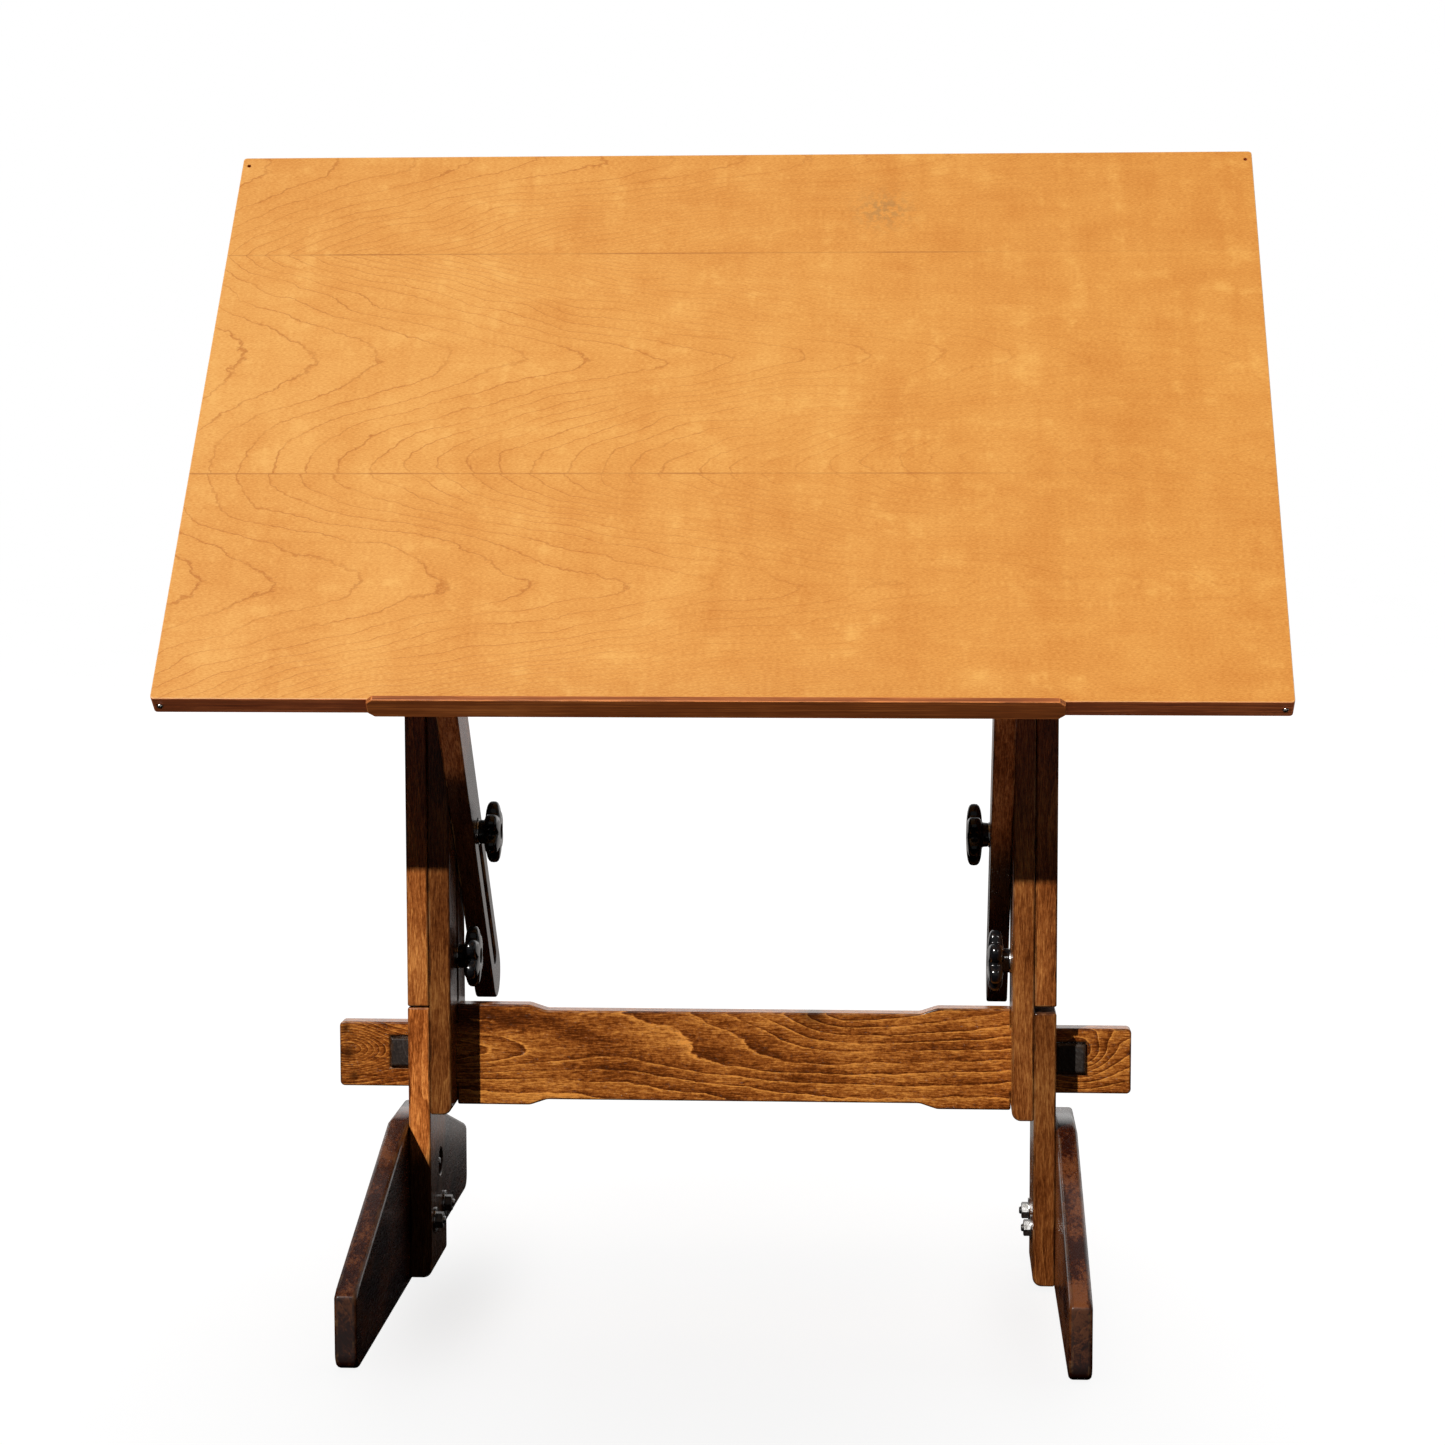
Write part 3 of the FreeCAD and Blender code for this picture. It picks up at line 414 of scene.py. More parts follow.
# ---------------------------------------------------------------------------------------------
# Metal and plastic
# ---------------------------------------------------------------------------------------------
def steel(name, bright, seed, rough=0.26):
    """Zinc plate: bright metal with cloudy tarnish, fine tool marks and patches of dull grime."""
    g = Graph(name)
    x, y, z = g.local(Vector((0, 0, 0)), ALONG_X, ALONG_Y, ALONG_Z)
    cloud = g.swing(g.spread((x, 0.22), (y, 0.22), (z, 0.22)), 1.0, 4.0, 0.6, seed)
    marks = g.swing(g.spread((x, 7.0), (y, 0.8), (z, 0.8)), 1.0, 2.0, 0.6, seed + 1)
    tone = g.add(0.55, g.times(cloud, 0.9), g.times(marks, 0.25))
    grime, tarnish, plate = (Vector(tone) * bright for tone in ((0.20, 0.17, 0.14), (0.5, 0.49, 0.47),
                                                                (0.84, 0.84, 0.85)))
    colour = g.ramp(tone, [(0.0, grime), (0.45, tarnish), (1.0, plate)])
    g.bump(g.add(g.times(marks, 0.5), cloud), 0.00006, 0.5)
    return g.finish(colour, g.add(rough, g.times(cloud, 0.22), g.times(marks, 0.08)), Metallic=1.0)


def moulded(name):
    """Glossy black plastic with a faint orange-peel surface, dust and scuffs."""
    g = Graph(name)
    x, y, z = g.local(Vector((0, 0, 0)), ALONG_X, ALONG_Y, ALONG_Z)
    dust = g.noise(g.spread((x, 0.30), (y, 0.30), (z, 0.30)), 5.0, 0.7, 31.0)
    dust = g.step(dust, 0.52, 0.75)
    peel = g.noise(g.spread((x, 1.3), (y, 1.3), (z, 1.3)), 2.0, 0.5, 33.0)
    scuff = g.step(g.noise(g.spread((x, 0.9), (y, 0.12), (z, 0.4)), 4.0, 0.6, 35.0),
                   0.62, 0.7)
    colour = g.mix(g.times(dust, 0.45), (0.006, 0.006, 0.007), (0.035, 0.032, 0.030))
    colour = g.mix(g.times(scuff, 0.4), colour, (0.05, 0.05, 0.05))
    rough = g.add(0.16, g.times(dust, 0.22), g.times(scuff, 0.25))
    g.bump(g.add(g.times(peel, 0.5), g.times(scuff, -0.2)), 0.00010, 0.35)
    return g.finish(colour, rough, Specular_IOR_Level=0.5, Coat_Weight=0.25, Coat_Roughness=0.08)


# ---------------------------------------------------------------------------------------------
# Pieces
# ---------------------------------------------------------------------------------------------
SHARP_FROM = math.radians(36)
shown = []


def show(bm, node, slot, *materials):
    """Make the shaded object of a mesh that stands for a CAD node, riding on the node's body."""
    name = node + "_piece"
    bmesh.ops.recalc_face_normals(bm, faces=bm.faces)
    for face in bm.faces:
        face.smooth = True
    for edge in bm.edges:
        edge.smooth = edge.is_manifold and edge.calc_face_angle(0.0) < SHARP_FROM
    mesh = bpy.data.meshes.new(name)
    bm.to_mesh(mesh)
    bm.free()
    piece = bpy.data.objects.new(name, mesh)
    bpy.context.scene.collection.objects.link(piece)
    for material in materials:
        mesh.materials.append(material)
    weighted = piece.modifiers.new("even_shading", "WEIGHTED_NORMAL")
    weighted.keep_sharp = True
    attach(piece, BODY_OF[node])
    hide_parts(node)
    shown.append(piece)


def eased(node, radius, corner=math.radians(25), segments=3):
    """The CAD shape of a node with its sharp edges rounded over and marked as worn."""
    bm = bmesh.new()
    bm.from_mesh(frame["nodes"][node].data)
    bmesh.ops.remove_doubles(bm, verts=bm.verts, dist=1e-5)
    bmesh.ops.dissolve_limit(bm, angle_limit=math.radians(0.5), verts=bm.verts, edges=bm.edges)
    worn = bm.faces.layers.float.new("worn")
    flats = [face.normal.copy() for face in bm.faces if face.calc_area() > 20 * MM * MM]
    sharp = [edge for edge in bm.edges if edge.is_manifold and edge.calc_face_angle(0.0) > corner]
    made = bmesh.ops.bevel(bm, geom=sharp, offset=radius, offset_type="OFFSET", segments=segments,
                           profile=0.5, affect="EDGES", clamp_overlap=False)
    bm.normal_update()
    for face in made["faces"]:
        face[worn] = 0.0 if any(face.normal.dot(flat) > 0.9998 for flat in flats) else 1.0
    return bm


def islands(node):
    """Lowest and highest corner of each separate solid in a CAD node, from left to right."""
    bm = bmesh.new()
    bm.from_mesh(frame["nodes"][node].data)
    bmesh.ops.remove_doubles(bm, verts=bm.verts, dist=1e-5)
    unseen, found = set(bm.verts), []
    while unseen:
        reached, front = set(), [unseen.pop()]
        while front:
            vert = front.pop()
            reached.add(vert)
            for edge in vert.link_edges:
                other = edge.other_vert(vert)
                if other in unseen:
                    unseen.discard(other)
                    front.append(other)
        places = [vert.co for vert in reached]
        found.append((Vector([min(p[i] for p in places) for i in range(3)]),
                      Vector([max(p[i] for p in places) for i in range(3)])))
    bm.free()
    return sorted(found, key=lambda corners: tuple(round(value, 5) for value in corners[0]))


class Axis:
    """A line through the middle of a round part, with distances measured along it."""

    def __init__(self, origin, direction):
        self.origin, self.direction = Vector(origin), Vector(direction).normalized()
        helper = ALONG_X if abs(self.direction.x) < 0.5 else ALONG_Z
        self.up = (helper - self.direction * helper.dot(self.direction)).normalized()
        self.side = self.direction.cross(self.up)

    def at(self, distance, radius, angle):
        return (self.origin + self.direction * distance
                + (self.up * math.cos(angle) + self.side * math.sin(angle)) * radius)


def turned(bm, axis, profile, steps=40, closed=False):
    """Turn a profile round an axis.  Its points are (distance, radius), or functions of the angle."""
    rings = []
    for entry in profile:
        points = [entry(2 * math.pi * i / steps) if callable(entry) else entry for i in range(steps)]
        if max(radius for _, radius in points) == 0:
            rings.append([bm.verts.new(axis.at(points[0][0], 0, 0))] * steps)
        else:
            rings.append([bm.verts.new(axis.at(*points[i], 2 * math.pi * i / steps))
                          for i in range(steps)])
    for first, second in zip(rings, rings[1:] + (rings[:1] if closed else [])):
        for i in range(steps):
            corners = [first[i], first[i - 1], second[i - 1], second[i]]
            bm.faces.new(list(dict.fromkeys(corners)))


def side_axis(low, high):
    """The axis along X of a round solid with those corners, pointing away from the table's middle."""
    middle = (low + high) / 2
    return Axis((0, middle.y, middle.z), (math.copysign(1, middle.x), 0, 0))


def side_reach(low, high):
    """The solid's least and greatest distance from the table's middle."""
    return min(abs(low.x), abs(high.x)), max(abs(low.x), abs(high.x))


def threaded(start, end, radius, pitch=1.2 * MM, depth=0.42 * MM):
    """Profile rings of a screw thread from start to end."""
    count = max(2, round((end - start) / pitch * 6))

    def ring(distance):
        def at(angle):
            turn = 2 * math.pi * (distance - start) / pitch - angle
            return distance, radius - depth * (0.5 + 0.5 * math.cos(turn))
        return at
    return [ring(start + (end - start) * i / count) for i in range(count + 1)]


def bolt(bm, low, high, radius, head_radius, head_thick, thread_length):
    """A carriage bolt along X: a threaded inner end, a plain shank and a domed head outside."""
    axis = side_axis(low, high)
    inner, outer = side_reach(low, high)
    seat = outer - head_thick
    profile = [(inner, 0), (inner, radius - 1.0 * MM), (inner + 0.5 * MM, radius - 0.55 * MM)]
    profile += threaded(inner + 0.7 * MM, inner + thread_length, radius)
    profile += [(inner + thread_length + 0.6 * MM, radius), (seat, radius),
                (seat, head_radius - 0.3 * MM), (seat + 0.35 * MM, head_radius)]
    for i in range(1, 9):
        angle = math.pi / 2 * i / 9
        profile.append((seat + 0.5 * MM + (head_thick - 0.5 * MM) * math.sin(angle),
                        head_radius * math.cos(angle) ** 0.75))
    profile.append((outer, 0))
    turned(bm, axis, profile)


def washer(bm, low, high, bore):
    """A flat ring with rounded rims."""
    axis = side_axis(low, high)
    inner, outer = side_reach(low, high)
    radius = (high.z - low.z) / 2
    rim = min(0.35 * MM, (outer - inner) * 0.3)
    turned(bm, axis, [(inner, bore + rim), (inner, radius - rim), (inner + rim * 0.3, radius - rim * 0.3),
                      (inner + rim, radius), (outer - rim, radius), (outer - rim * 0.3, radius - rim * 0.3),
                      (outer, radius - rim), (outer, bore + rim), (outer - rim, bore), (inner + rim, bore)],
           closed=True)


def nut(bm, low, high, bore, corner=7.5 * MM):
    """A hexagonal nut, its corners chamfered at both faces as a turned blank's are."""
    axis = side_axis(low, high)
    inner, outer = side_reach(low, high)
    flat = corner * math.cos(math.pi / 6)

    def hexagon(angle):
        return flat / math.cos((angle + math.pi / 6) % (math.pi / 3) - math.pi / 6)

    def shoulder(face, inward):
        return lambda angle: (face + inward * (hexagon(angle) - 0.97 * flat) * 0.6, hexagon(angle))

    lip = 0.5 * MM
    turned(bm, axis, [(inner, bore + lip), (inner, 0.97 * flat), shoulder(inner, 1), shoulder(outer, -1),
                      (outer, 0.97 * flat), (outer, bore + lip), (outer - lip, bore), (inner + lip, bore)],
           steps=48, closed=True)


def cut_slots(bm, axis, top, reach, half, depth, directions):
    """Sink straight slots into the outer face of a screw head."""
    for angle in directions:
        along = axis.up * math.cos(angle) + axis.side * math.sin(angle)
        beside = axis.direction.cross(along)
        for plane, offset in ((beside, half), (beside, -half), (along, reach), (along, -reach)):
            geom = bm.verts[:] + bm.edges[:] + bm.faces[:]
            bmesh.ops.bisect_plane(bm, geom=geom, plane_co=axis.origin + plane * offset, plane_no=plane,
                                   dist=1e-7)
    bm.faces.ensure_lookup_table()

    def within(face):
        middle = face.calc_center_median() - axis.origin
        if middle.dot(axis.direction) < top - 1.2 * MM or face.normal.dot(axis.direction) < 0.4:
            return False
        for angle in directions:
            along = axis.up * math.cos(angle) + axis.side * math.sin(angle)
            beside = axis.direction.cross(along)
            if abs(middle.dot(beside)) < half and abs(middle.dot(along)) < reach:
                return True
        return False

    bm.normal_update()
    chosen = [face for face in bm.faces if within(face)]
    raised = bmesh.ops.extrude_face_region(bm, geom=chosen)
    bmesh.ops.delete(bm, geom=chosen, context="FACES")
    for item in raised["geom"]:
        if isinstance(item, bmesh.types.BMVert):
            item.co -= axis.direction * depth


def screw(target, axis, tip, seat, top, shank, head, slots, sunk=0.0):
    """A wood screw: a thread with a pointed tip, and a rounded head with slots cut in it."""
    bm = bmesh.new()
    profile = [(tip, 0), (tip + 2 * MM, shank * 0.5)]
    profile += threaded(tip + 3 * MM, seat - 1 * MM, shank, 1.6 * MM, 0.3 * shank)
    profile += [(seat, shank), (seat, head - 0.15 * MM), (seat + 0.15 * MM, head)]
    rise = top - sunk - seat - 0.15 * MM
    for i in range(1, 7):
        angle = math.pi / 2 * i / 7
        profile.append((seat + 0.15 * MM + rise * math.sin(angle), head * math.cos(angle) ** 0.6))
    profile.append((top - sunk, 0))
    turned(bm, axis, profile, steps=28)
    bmesh.ops.recalc_face_normals(bm, faces=bm.faces)
    cut_slots(bm, axis, top - sunk, head * 0.72, head * 0.13, head * 0.35, slots)
    mesh = bpy.data.meshes.new("part")
    bm.to_mesh(mesh)
    bm.free()
    target.from_mesh(mesh)
    bpy.data.meshes.remove(mesh)


# Distance, size of the core and share of the lobes of each ring round a knob, from the back to the face.
KNOB_RINGS = ((0.05, 9.5, 0.05), (0.3, 12.0, 0.30), (0.8, 14.6, 0.62), (1.6, 16.8, 0.85),
              (2.8, 18.3, 0.96), (4.4, 19.0, 1.0), (6.75, 19.2, 1.0), (9.1, 19.0, 1.0),
              (10.8, 18.2, 0.96), (12.0, 16.9, 0.86), (12.9, 15.0, 0.66), (13.4, 13.0, 0.35),
              (13.6, 11.9, 0.08))


def knob(node):
    """A six-lobed clamp knob with a crowned face, a dished cap and a plain hub."""
    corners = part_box(node)
    axis, (inner, outer) = side_axis(*corners), side_reach(*corners)
    core, lobe, circle, lobes = 19 * MM, 8 * MM, 19 * MM, 6
    turn = 0.0 if axis.up.z > 0.5 else math.pi / 2

    def outline(angle):
        """The radius of the head where its lobes are full, with soft hollows between them."""
        off = (angle - turn + math.pi / lobes) % (2 * math.pi / lobes) - math.pi / lobes
        square = lobe ** 2 - (circle * math.sin(off)) ** 2
        tip = circle * math.cos(off) + math.sqrt(square) if square > 0 else 0.86 * circle
        soft = 0.9 * MM
        highest = max(tip, core)
        return highest + soft * math.log(math.exp((tip - highest) / soft)
                                         + math.exp((core - highest) / soft)) - 0.35 * MM

    def ring(distance, size, share):
        """A ring of the profile, of some size at the core, that takes a share of the lobes."""
        return lambda angle: (inner + distance * MM,
                              size * MM + share * (outline(angle) - core) * (0.6 + 0.4 * size / 19))

    profile = [(inner + 1.5 * MM, 0), (inner + 1.5 * MM, 4.5 * MM), (inner + 1.2 * MM, 6.4 * MM),
               (inner + 0.35 * MM, 7.0 * MM), (inner, 7.8 * MM)]
    profile += [ring(*sizes) for sizes in KNOB_RINGS]
    profile += [(inner + 14.0 * MM, 11.1 * MM), (inner + 15.0 * MM, 10.6 * MM),
                (outer - 0.8 * MM, 10.4 * MM), (outer - 0.2 * MM, 10.1 * MM), (outer, 9.6 * MM),
                (outer, 4.2 * MM), (outer - 0.6 * MM, 3.6 * MM), (outer - 15.5 * MM, 3.6 * MM),
                (outer - 16.0 * MM, 0)]
    bm = bmesh.new()
    turned(bm, axis, profile, steps=120)
    return bm


# ---------------------------------------------------------------------------------------------
# Wooden pieces
# ---------------------------------------------------------------------------------------------
def wooden(node, slot, radius, along, across, seed, **looks):
    """The CAD shape of a node with eased edges, in stained wood with its grain along an axis."""
    low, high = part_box(node)
    material = stained_wood(node + "_wood", (low + high) / 2, along, across, seed, **looks)
    show(eased(node, radius), node, slot, material)


EDGE = 1.7 * MM
FOOT_EDGE = 3.6 * MM
# The brightness of each piece's colour, matched to how the pieces look beside each other in use.  The
# painted
# shade darkens them along the grain: on the struts below the board, and on the left leg beside its foot.
SHADES = {"left": {"leg": 1.95, "guide": 0.57, "slide": 1.3, "foot": 0.25,
                   "leg_fall": (4.0, -24.0, 0.16), "strut_fall": (-92.0, -62.0, 0.14)},
          "right": {"leg": 0.62, "guide": 0.82, "slide": 0.98, "foot": 0.31,
                    "leg_fall": None, "strut_fall": (-20.0, 40.0, 0.14)}}
for side, sign in SIDES.items():
    seed = 17.0 if side == "left" else 47.0
    shades = SHADES[side]
    wooden("leg_" + side, "frame_wood", EDGE, ALONG_Z, ALONG_Y, seed, shade=shades["leg"],
           pith=(6, 70 * sign), fall=shades["leg_fall"])
    wooden("guide_post_" + side, "frame_wood", EDGE, ALONG_Z, ALONG_Y, seed + 100, shade=shades["guide"],
           pith=(-14, 55 * sign), spacing=6.0)
    wooden("sliding_post_" + side, "frame_wood", EDGE, ALONG_Z, ALONG_Y, seed + 200, shade=shades["slide"],
           pith=(12, -60 * sign), spacing=6.5)
    wooden("tilt_strut_" + side, "frame_wood", EDGE, DOWN_STRUT, ALONG_X.cross(DOWN_STRUT), seed + 300,
           shade=0.85, pith=(4, 40 * sign), spacing=6.0, fall=shades["strut_fall"],
           tint=(1.1, 0.95, 1.25), mottle=0.5)
    wooden("foot_" + side, "frame_wood", FOOT_EDGE, ALONG_Y, ALONG_Z, seed + 400, shade=shades["foot"],
           red=0.40, pith=(-70, 45 * sign), spacing=8.0, blotch_gain=2.6, mottle=2.3,
           tint=(1.05, 0.84, 1.0))
    wooden("cleat_" + side, "frame_wood", EDGE, UP_BOARD, OFF_BOARD, seed + 500, shade=0.5,
           pith=(-90, 30 * sign))
    wooden("wedge_" + side, "wedge_wood", 1.0 * MM, ALONG_Y, ALONG_Z, seed + 600, shade=0.15,
           pith=(20, 30), spacing=5.0, mottle=0.8, tint=(1.0, 2.2, 8.0))
wooden("stretcher", "frame_wood", EDGE, ALONG_X, ALONG_Z, 700.0, shade=1.15, rings=stretcher_rings,
       spacing=9.0, wander=5.0, ring_gain=0.42, fibre_gain=1.3, tint=(1.02, 1.0, 0.74), mottle=0.7,
       knots=((-338.0, 1.0, 6.0), (-333.0, -20.0, 4.0), (-340.0, 22.0, 4.0), (70.0, 40.0, 10.0)))


def on_board(x, along, off=0.0):
    """A place given in the board's own frame."""
    return BOARD_ORIGIN + ALONG_X * x + UP_BOARD * along + OFF_BOARD * off


def pilot_hole(bm, x, along, radius, depth, steps=24):
    """Sink a small round hole with a pressed-in rim into the top of the board."""
    patch = 4 * MM
    for plane, offset in ((ALONG_X, x - patch), (ALONG_X, x + patch), (UP_BOARD, along - patch),
                          (UP_BOARD, along + patch)):
        bmesh.ops.bisect_plane(bm, geom=bm.verts[:] + bm.edges[:] + bm.faces[:], dist=1e-7,
                               plane_co=BOARD_ORIGIN + plane * offset, plane_no=plane)
    bm.normal_update()
    centre = on_board(x, along)
    square = min((face for face in bm.faces if face.normal.dot(OFF_BOARD) > 0.9),
                 key=lambda face: (face.calc_center_median() - centre).length)
    corners = sorted(square.verts, key=lambda v: math.atan2((v.co - centre).dot(UP_BOARD),
                                                            (v.co - centre).dot(ALONG_X)))
    bm.faces.remove(square)
    rings = []
    for size, drop in ((radius + 0.5 * MM, 0.0), (radius + 0.1 * MM, 0.35 * MM), (radius, 1 * MM),
                       (radius, depth)):
        turns = (-math.pi + 2 * math.pi * (i + 0.5) / steps for i in range(steps))
        rings.append([bm.verts.new(on_board(x + size * math.cos(turn), along + size * math.sin(turn),
                                            -drop)) for turn in turns])
    quarter = steps // 4
    for i in range(steps):
        after = (i + 1) % steps
        corner = corners[i // quarter]
        bm.faces.new((rings[0][i], rings[0][after], corner))
        if after % quarter == 0:
            bm.faces.new((rings[0][after], corners[(i // quarter + 1) % 4], corner))
        for upper, lower in zip(rings, rings[1:]):
            bm.faces.new((upper[i], upper[after], lower[after], lower[i]))
    bm.faces.new(rings[-1])


def board_mesh():
    """The board: a panel with rounded corners, eased edges and two pilot holes near the back."""
    half, depth = (board_high.x - board_low.x) / 2, BOARD_DEPTH
    corner, corner_steps = 3 * MM, 6
    outline = []
    for x, along, first in ((half, depth, 0.0), (-half, depth, 0.5), (-half, 0.0, 1.0), (half, 0.0, 1.5)):
        middle = x - math.copysign(corner, x), along + (corner if along == 0 else -corner)
        for i in range(corner_steps + 1):
            angle = math.pi * (first + 0.5 * i / corner_steps)
            outline.append((middle[0] + corner * math.cos(angle), middle[1] + corner * math.sin(angle)))
    bm = bmesh.new()
    worn = bm.faces.layers.float.new("worn")
    ease = 0.8 * MM
    levels = [(0.0, ease), (-0.08 * MM, ease * 0.55), (-0.28 * MM, ease * 0.22), (-ease, 0.0)]
    levels += [(-BOARD_THICK - drop, inset) for drop, inset in reversed(levels)]
    rings = []
    for off, inset in levels:
        scale_x, scale_y = 1 - inset / half, 1 - 2 * inset / depth
        rings.append([bm.verts.new(on_board(x * scale_x, depth / 2 + (along - depth / 2) * scale_y, off))
                      for x, along in outline])
    count = len(outline)
    for level, (upper, lower) in enumerate(zip(rings, rings[1:])):
        for i in range(count):
            face = bm.faces.new((upper[i], lower[i], lower[(i + 1) % count], upper[(i + 1) % count]))
            face[worn] = 0.0 if level == 3 else 1.0
    bm.faces.new(rings[0])
    bm.faces.new(list(reversed(rings[-1])))
    hole_x, hole_along, hole_radius, hole_depth = 451 * MM, 600 * MM, 1.6 * MM, 12 * MM
    for sign in SIDES.values():
        pilot_hole(bm, sign * hole_x, hole_along, hole_radius, hole_depth)
    bm.normal_update()
    for face in bm.faces:
        face.material_index = 0 if abs(face.normal.dot(OFF_BOARD)) > 0.6 else 1
    return bm


STRIP = paint(50, 24, 14), paint(96, 48, 26), paint(150, 88, 52)
show(board_mesh(), "drawing_board", "board_veneer",
     veneer("birch_veneer"), banding("edge_strip", *(4.2 * tone for tone in STRIP), 61.0))
# The ledge's front face gets less light than its lip, so its colour is made stronger.
LEDGE = paint(64, 32, 14), paint(104, 54, 24), paint(150, 90, 46)
ledge = eased("pencil_ledge", 0.8 * MM)
for face in ledge.faces:
    face.material_index = 1 if face.normal.dot(UP_BOARD) < -0.8 else 0
show(ledge, "pencil_ledge", "ledge_wood", banding("ledge_lip", *(2.0 * tone for tone in LEDGE), 71.0),
     banding("ledge_face", *(3.5 * tone for tone in LEDGE), 71.0))


# ---------------------------------------------------------------------------------------------
# Hardware
# ---------------------------------------------------------------------------------------------
ZINC = steel("zinc_plate", 1.0, 81.0)
DULL = steel("dull_steel", 0.55, 85.0, rough=0.4)
BLACK = moulded("black_plastic")
HEAD = 9 * MM
HEAD_THICK = 4 * MM


def each_solid(node, build, *sizes):
    """One mesh with a part built for every separate solid of a node."""
    bm = bmesh.new()
    for low, high in islands(node):
        build(bm, low, high, *sizes)
    return bm


for node, radius, thread in (("foot_bolts", 3.5, 11), ("tilt_bolts", 3.5, 20), ("height_bolts", 3.5, 20),
                             ("pivot_bolts", 5.0, 12), ("hinge_bolts", 4.0, 12)):
    bolts = each_solid(node, bolt, radius * MM, HEAD, HEAD_THICK, thread * MM)
    show(bolts, node, "plated_steel", ZINC)
for node, bore in (("foot_washers", 3.6), ("tilt_washers", 3.6), ("height_washers", 3.6),
                   ("pivot_washers", 5.1)):
    show(each_solid(node, washer, bore * MM), node, "plated_steel", ZINC)
for node, bore in (("foot_nuts", 3.55), ("pivot_nuts", 5.05), ("hinge_nuts", 4.05)):
    show(each_solid(node, nut, bore * MM), node, "plated_steel", DULL)

# The guide screws' heads are sunk, and stand in their holes like plugs.
QUARTER = math.pi / 2
sunk_head = 18 * MM
screws = bmesh.new()
for low, high in islands("guide_screws"):
    inner, outer = side_reach(low, high)
    screw(screws, side_axis(low, high), inner, outer - sunk_head, outer, 2.2 * MM, 4.4 * MM,
          (0.4, 0.4 + QUARTER), 0.6 * MM)
show(screws, "guide_screws", "plated_steel", DULL)

# The other screws: their length, the way their heads face, their radii and the turns of their slots.
raised_head = 1.5 * MM
for node, length, out, shank, head, slots in (
        ("cleat_screws", 38.5 * MM, -OFF_BOARD, 2.2 * MM, 4.4 * MM, (0.9, 0.9 + QUARTER)),
        ("edge_screws", 13.5 * MM, -UP_BOARD, 1.3 * MM, 2.6 * MM, (0.5,))):
    screws = bmesh.new()
    for low, high in islands(node):
        axis = Axis((low + high) / 2 - out * length / 2, out)
        screw(screws, axis, 0.0, length - raised_head, length, shank, head, slots)
    show(screws, node, "plated_steel", ZINC)

for kind in ("tilt_knob", "height_knob"):
    for side in SIDES:
        node = kind + "_" + side
        show(knob(node), node, "black_plastic", BLACK)


# ---------------------------------------------------------------------------------------------
# Floor, light and camera
# ---------------------------------------------------------------------------------------------
def make_floor():
    """A plain pale floor that runs back into a white surround, with painted shadow beneath the table."""
    bm = bmesh.new()
    bmesh.ops.create_grid(bm, x_segments=8, y_segments=8, size=30.0)
    mesh = bpy.data.meshes.new("floor")
    bm.to_mesh(mesh)
    bm.free()
    floor = bpy.data.objects.new("floor", mesh)
    floor.location.z = -0.0002
    bpy.context.scene.collection.objects.link(floor)
    g = Graph("pale_floor")
    x, y = g.local(Vector((0, 0, 0)), ALONG_X, ALONG_Y)
    # Painted shadow: the floor's glow is a little lower beneath the table, and lowest beside the inner
    # faces of the feet.
    painted_shadow_beneath_table = g.times(g.bell((x, 0.0, 430.0), (y, -300.0, 700.0)), -0.12)
    painted_shadow_left = g.times(g.bell((x, -236.0, 52.0), (y, -110.0, 200.0)), -0.13)
    painted_shadow_right = g.times(g.bell((x, 256.0, 42.0), (y, -110.0, 200.0)), -0.06)
    glow = g.add(1.0, painted_shadow_beneath_table, painted_shadow_left, painted_shadow_right)
    grain = g.swing(g.spread((x, 0.004), (y, 0.004)), 1.0, 3.0, 0.5, 91.0)
    g.put(g.shader.inputs["Emission Color"], (1.0, 1.0, 1.0))
    g.put(g.shader.inputs["Emission Strength"], g.add(glow, g.times(grain, 0.01)))
    g.finish((0.35, 0.35, 0.35), 0.9, Specular_IOR_Level=0.0)
    mesh.materials.append(g.material)
    floor.visible_diffuse = False
    floor.visible_glossy = False
    floor.visible_shadow = False
    floor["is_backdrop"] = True


def area_light(name, place, target, width, height, radiance, colour=(1, 1, 1)):
    """A softbox with a given brightness of its face."""
    data = bpy.data.lights.new(name, "AREA")
    data.shape = "RECTANGLE"
    data.size, data.size_y = width, height
    data.energy = radiance * width * height * math.pi
    data.color = colour
    light = bpy.data.objects.new(name, data)
    light.location = place
    light.rotation_euler = (Vector(target) - Vector(place)).to_track_quat("-Z", "Y").to_euler()
    light.visible_camera = False
    bpy.context.scene.collection.objects.link(light)
    return light


def light_only(light, pieces):
    """Let a light fall on these pieces and on nothing else."""
    group = bpy.data.collections.new(light.name + "_falls_on")
    for piece in pieces:
        group.objects.link(piece)
    light.light_linking.receiver_collection = group


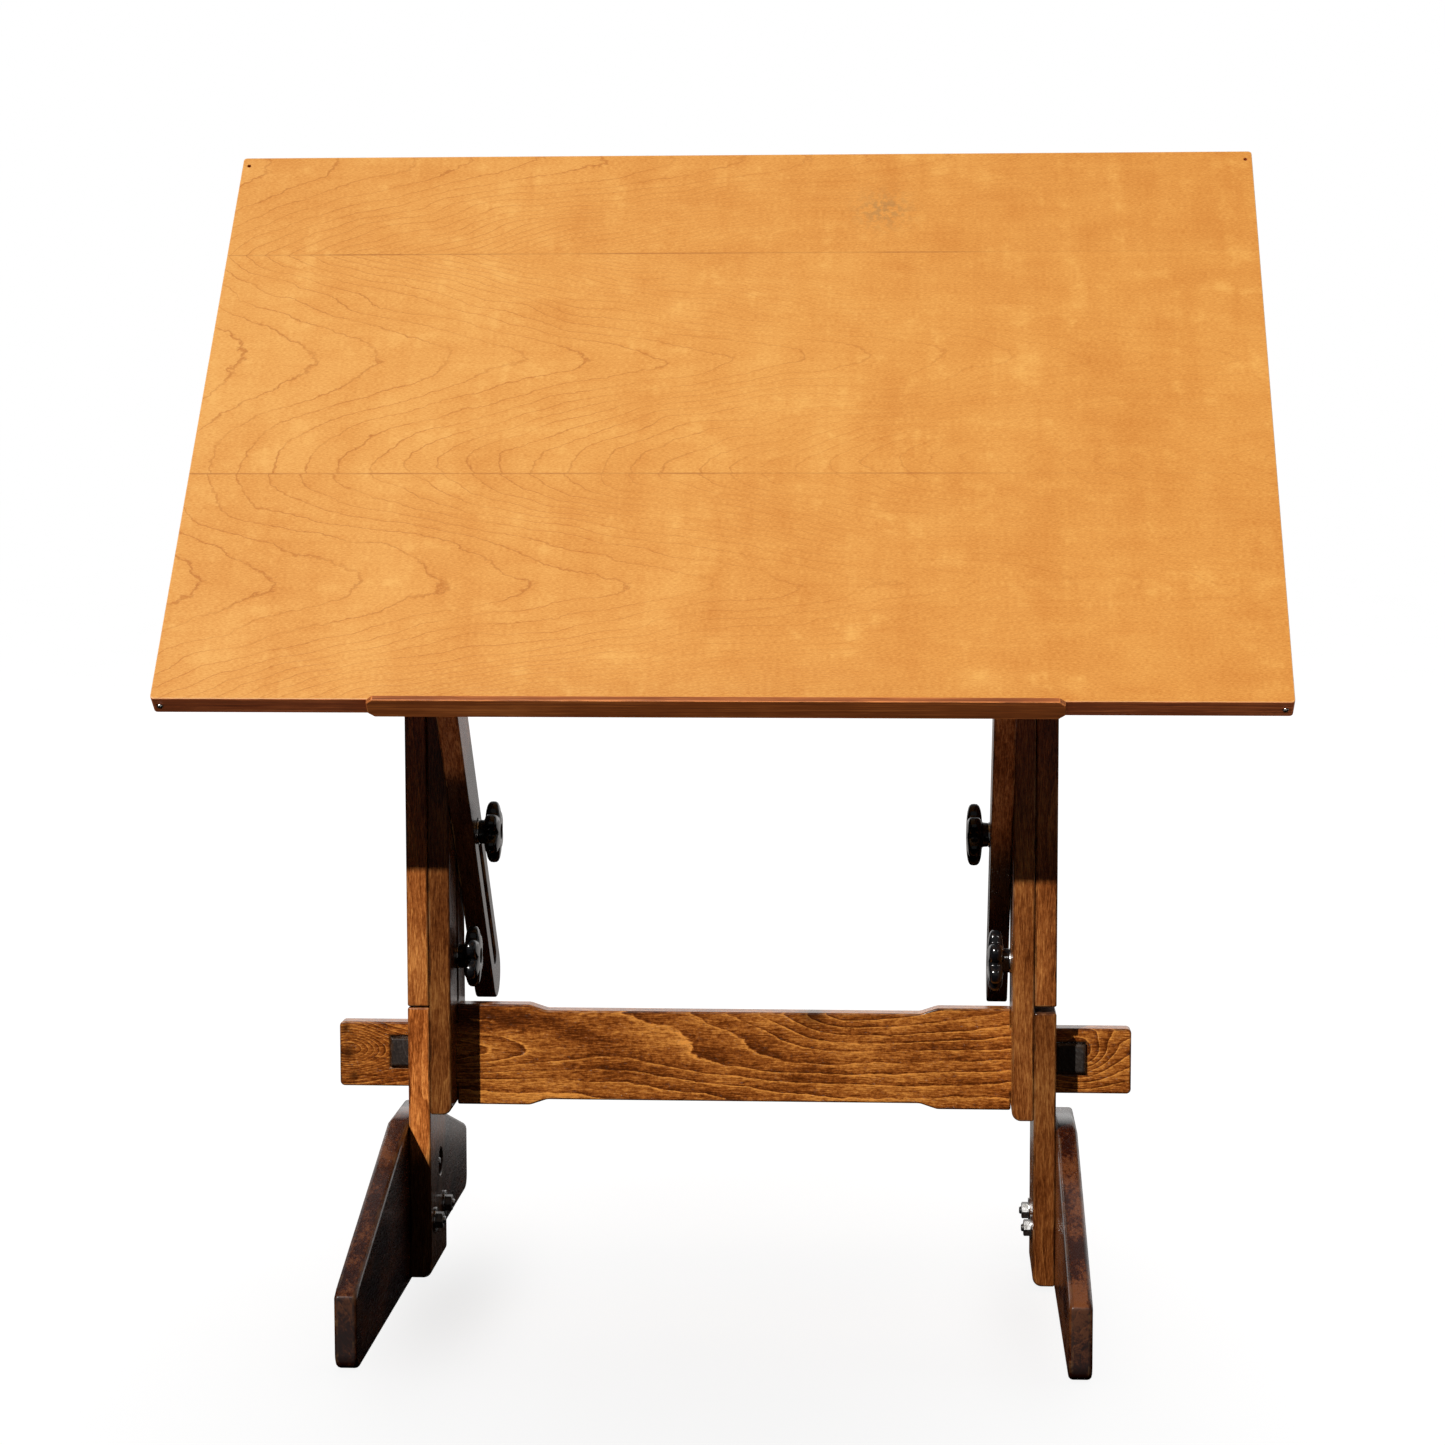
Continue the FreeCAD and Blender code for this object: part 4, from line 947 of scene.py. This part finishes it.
def make_lights():
    """The key light from the front left, soft boxes round the table, and fills for some pieces only."""
    data = bpy.data.lights.new("key", "SUN")
    data.energy = KEY_LIGHT * math.pi
    data.angle = math.radians(1.1)
    data.color = (1.0, 0.985, 0.96)
    key = bpy.data.objects.new("key", data)
    key.rotation_euler = (-TOWARDS_KEY).to_track_quat("-Z", "Y").to_euler()
    bpy.context.scene.collection.objects.link(key)
    light_only(key, shown)
    area_light("top", (0, 0.3, 3.4), (0, 0, 0), 4.0, 4.0, 0.22)
    area_light("front", (0, -5.0, 1.6), (0, 0, 0.5), 6.0, 3.2, 0.12)
    area_light("rear", (0.4, 5.0, 2.2), (0, 0, 0.5), 8.0, 4.4, 0.55)
    area_light("right", (5.0, 0.5, 1.8), (0, 0, 0.5), 5.0, 3.4, 0.30)
    fill = area_light("rear_fill", (-0.6, 4.6, 1.4), (0, 0, 0.6), 7.0, 4.0, 1.1)
    fill.visible_glossy = False
    light_only(fill, shown)
    side_fill = area_light("side_fill", (4.6, 0.2, 1.3), (0, 0, 0.5), 5.0, 3.4, 1.0)
    side_fill.visible_glossy = False
    light_only(side_fill, [piece for piece in shown if "_left" not in piece.name])
    sheen = area_light("rear_sheen", (0.6, 3.2, 0.35), (0.6, 0, 0.35), 6.0, 1.9, 0.42,
                       (1.0, 0.95, 0.92))
    sheen.visible_diffuse = False
    low = area_light("low_front", (0, -0.95, 0.03), (0, -0.22, 0.5), 2.6, 0.25, 1.5, (1.0, 0.96, 0.9))
    lit_low = "drawing_board", "pencil_ledge", "edge_screws", "tilt_strut"
    light_only(low, [piece for piece in shown if piece.name.startswith(lit_low)])


def make_surround():
    """A white surround that is seen but lights nothing."""
    world = bpy.data.worlds.new("white_surround")
    world.use_nodes = True
    world.node_tree.nodes["Background"].inputs["Color"].default_value = (1, 1, 1, 1)
    world.node_tree.nodes["Background"].inputs["Strength"].default_value = 1.0
    bpy.context.scene.world = world
    world.cycles_visibility.diffuse = False
    world.cycles_visibility.glossy = False
    world.cycles_visibility.transmission = False
    world.cycles_visibility.scatter = False


CAMERA_PLACE = Vector((0.161, -2.760, 0.747))
CAMERA_YAW, CAMERA_PITCH, CAMERA_ROLL = (math.radians(angle) for angle in (3.52, 5.36, -0.11))
CAMERA_LENS = 79.87


def make_camera():
    """The camera in front of the table, a little to its right, looking slightly down."""
    yaw, pitch, roll = CAMERA_YAW, CAMERA_PITCH, CAMERA_ROLL
    level = Vector((-math.sin(yaw), math.cos(yaw), 0))
    ahead = level * math.cos(pitch) - ALONG_Z * math.sin(pitch)
    flat_right = Vector((math.cos(yaw), math.sin(yaw), 0))
    flat_up = flat_right.cross(ahead)
    right = flat_right * math.cos(roll) + flat_up * math.sin(roll)
    up = flat_up * math.cos(roll) - flat_right * math.sin(roll)
    data = bpy.data.cameras.new("camera")
    data.sensor_width, data.lens = 36.0, CAMERA_LENS
    data.clip_start, data.clip_end = 0.05, 100.0
    camera = bpy.data.objects.new("camera", data)
    turn = Matrix((right, up, -ahead)).transposed()
    camera.matrix_world = Matrix.Translation(CAMERA_PLACE) @ turn.to_4x4()
    bpy.context.scene.collection.objects.link(camera)
    bpy.context.scene.camera = camera


make_floor()
make_lights()
make_surround()
make_camera()
bpy.context.scene.view_settings.view_transform = "Standard"

low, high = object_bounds()
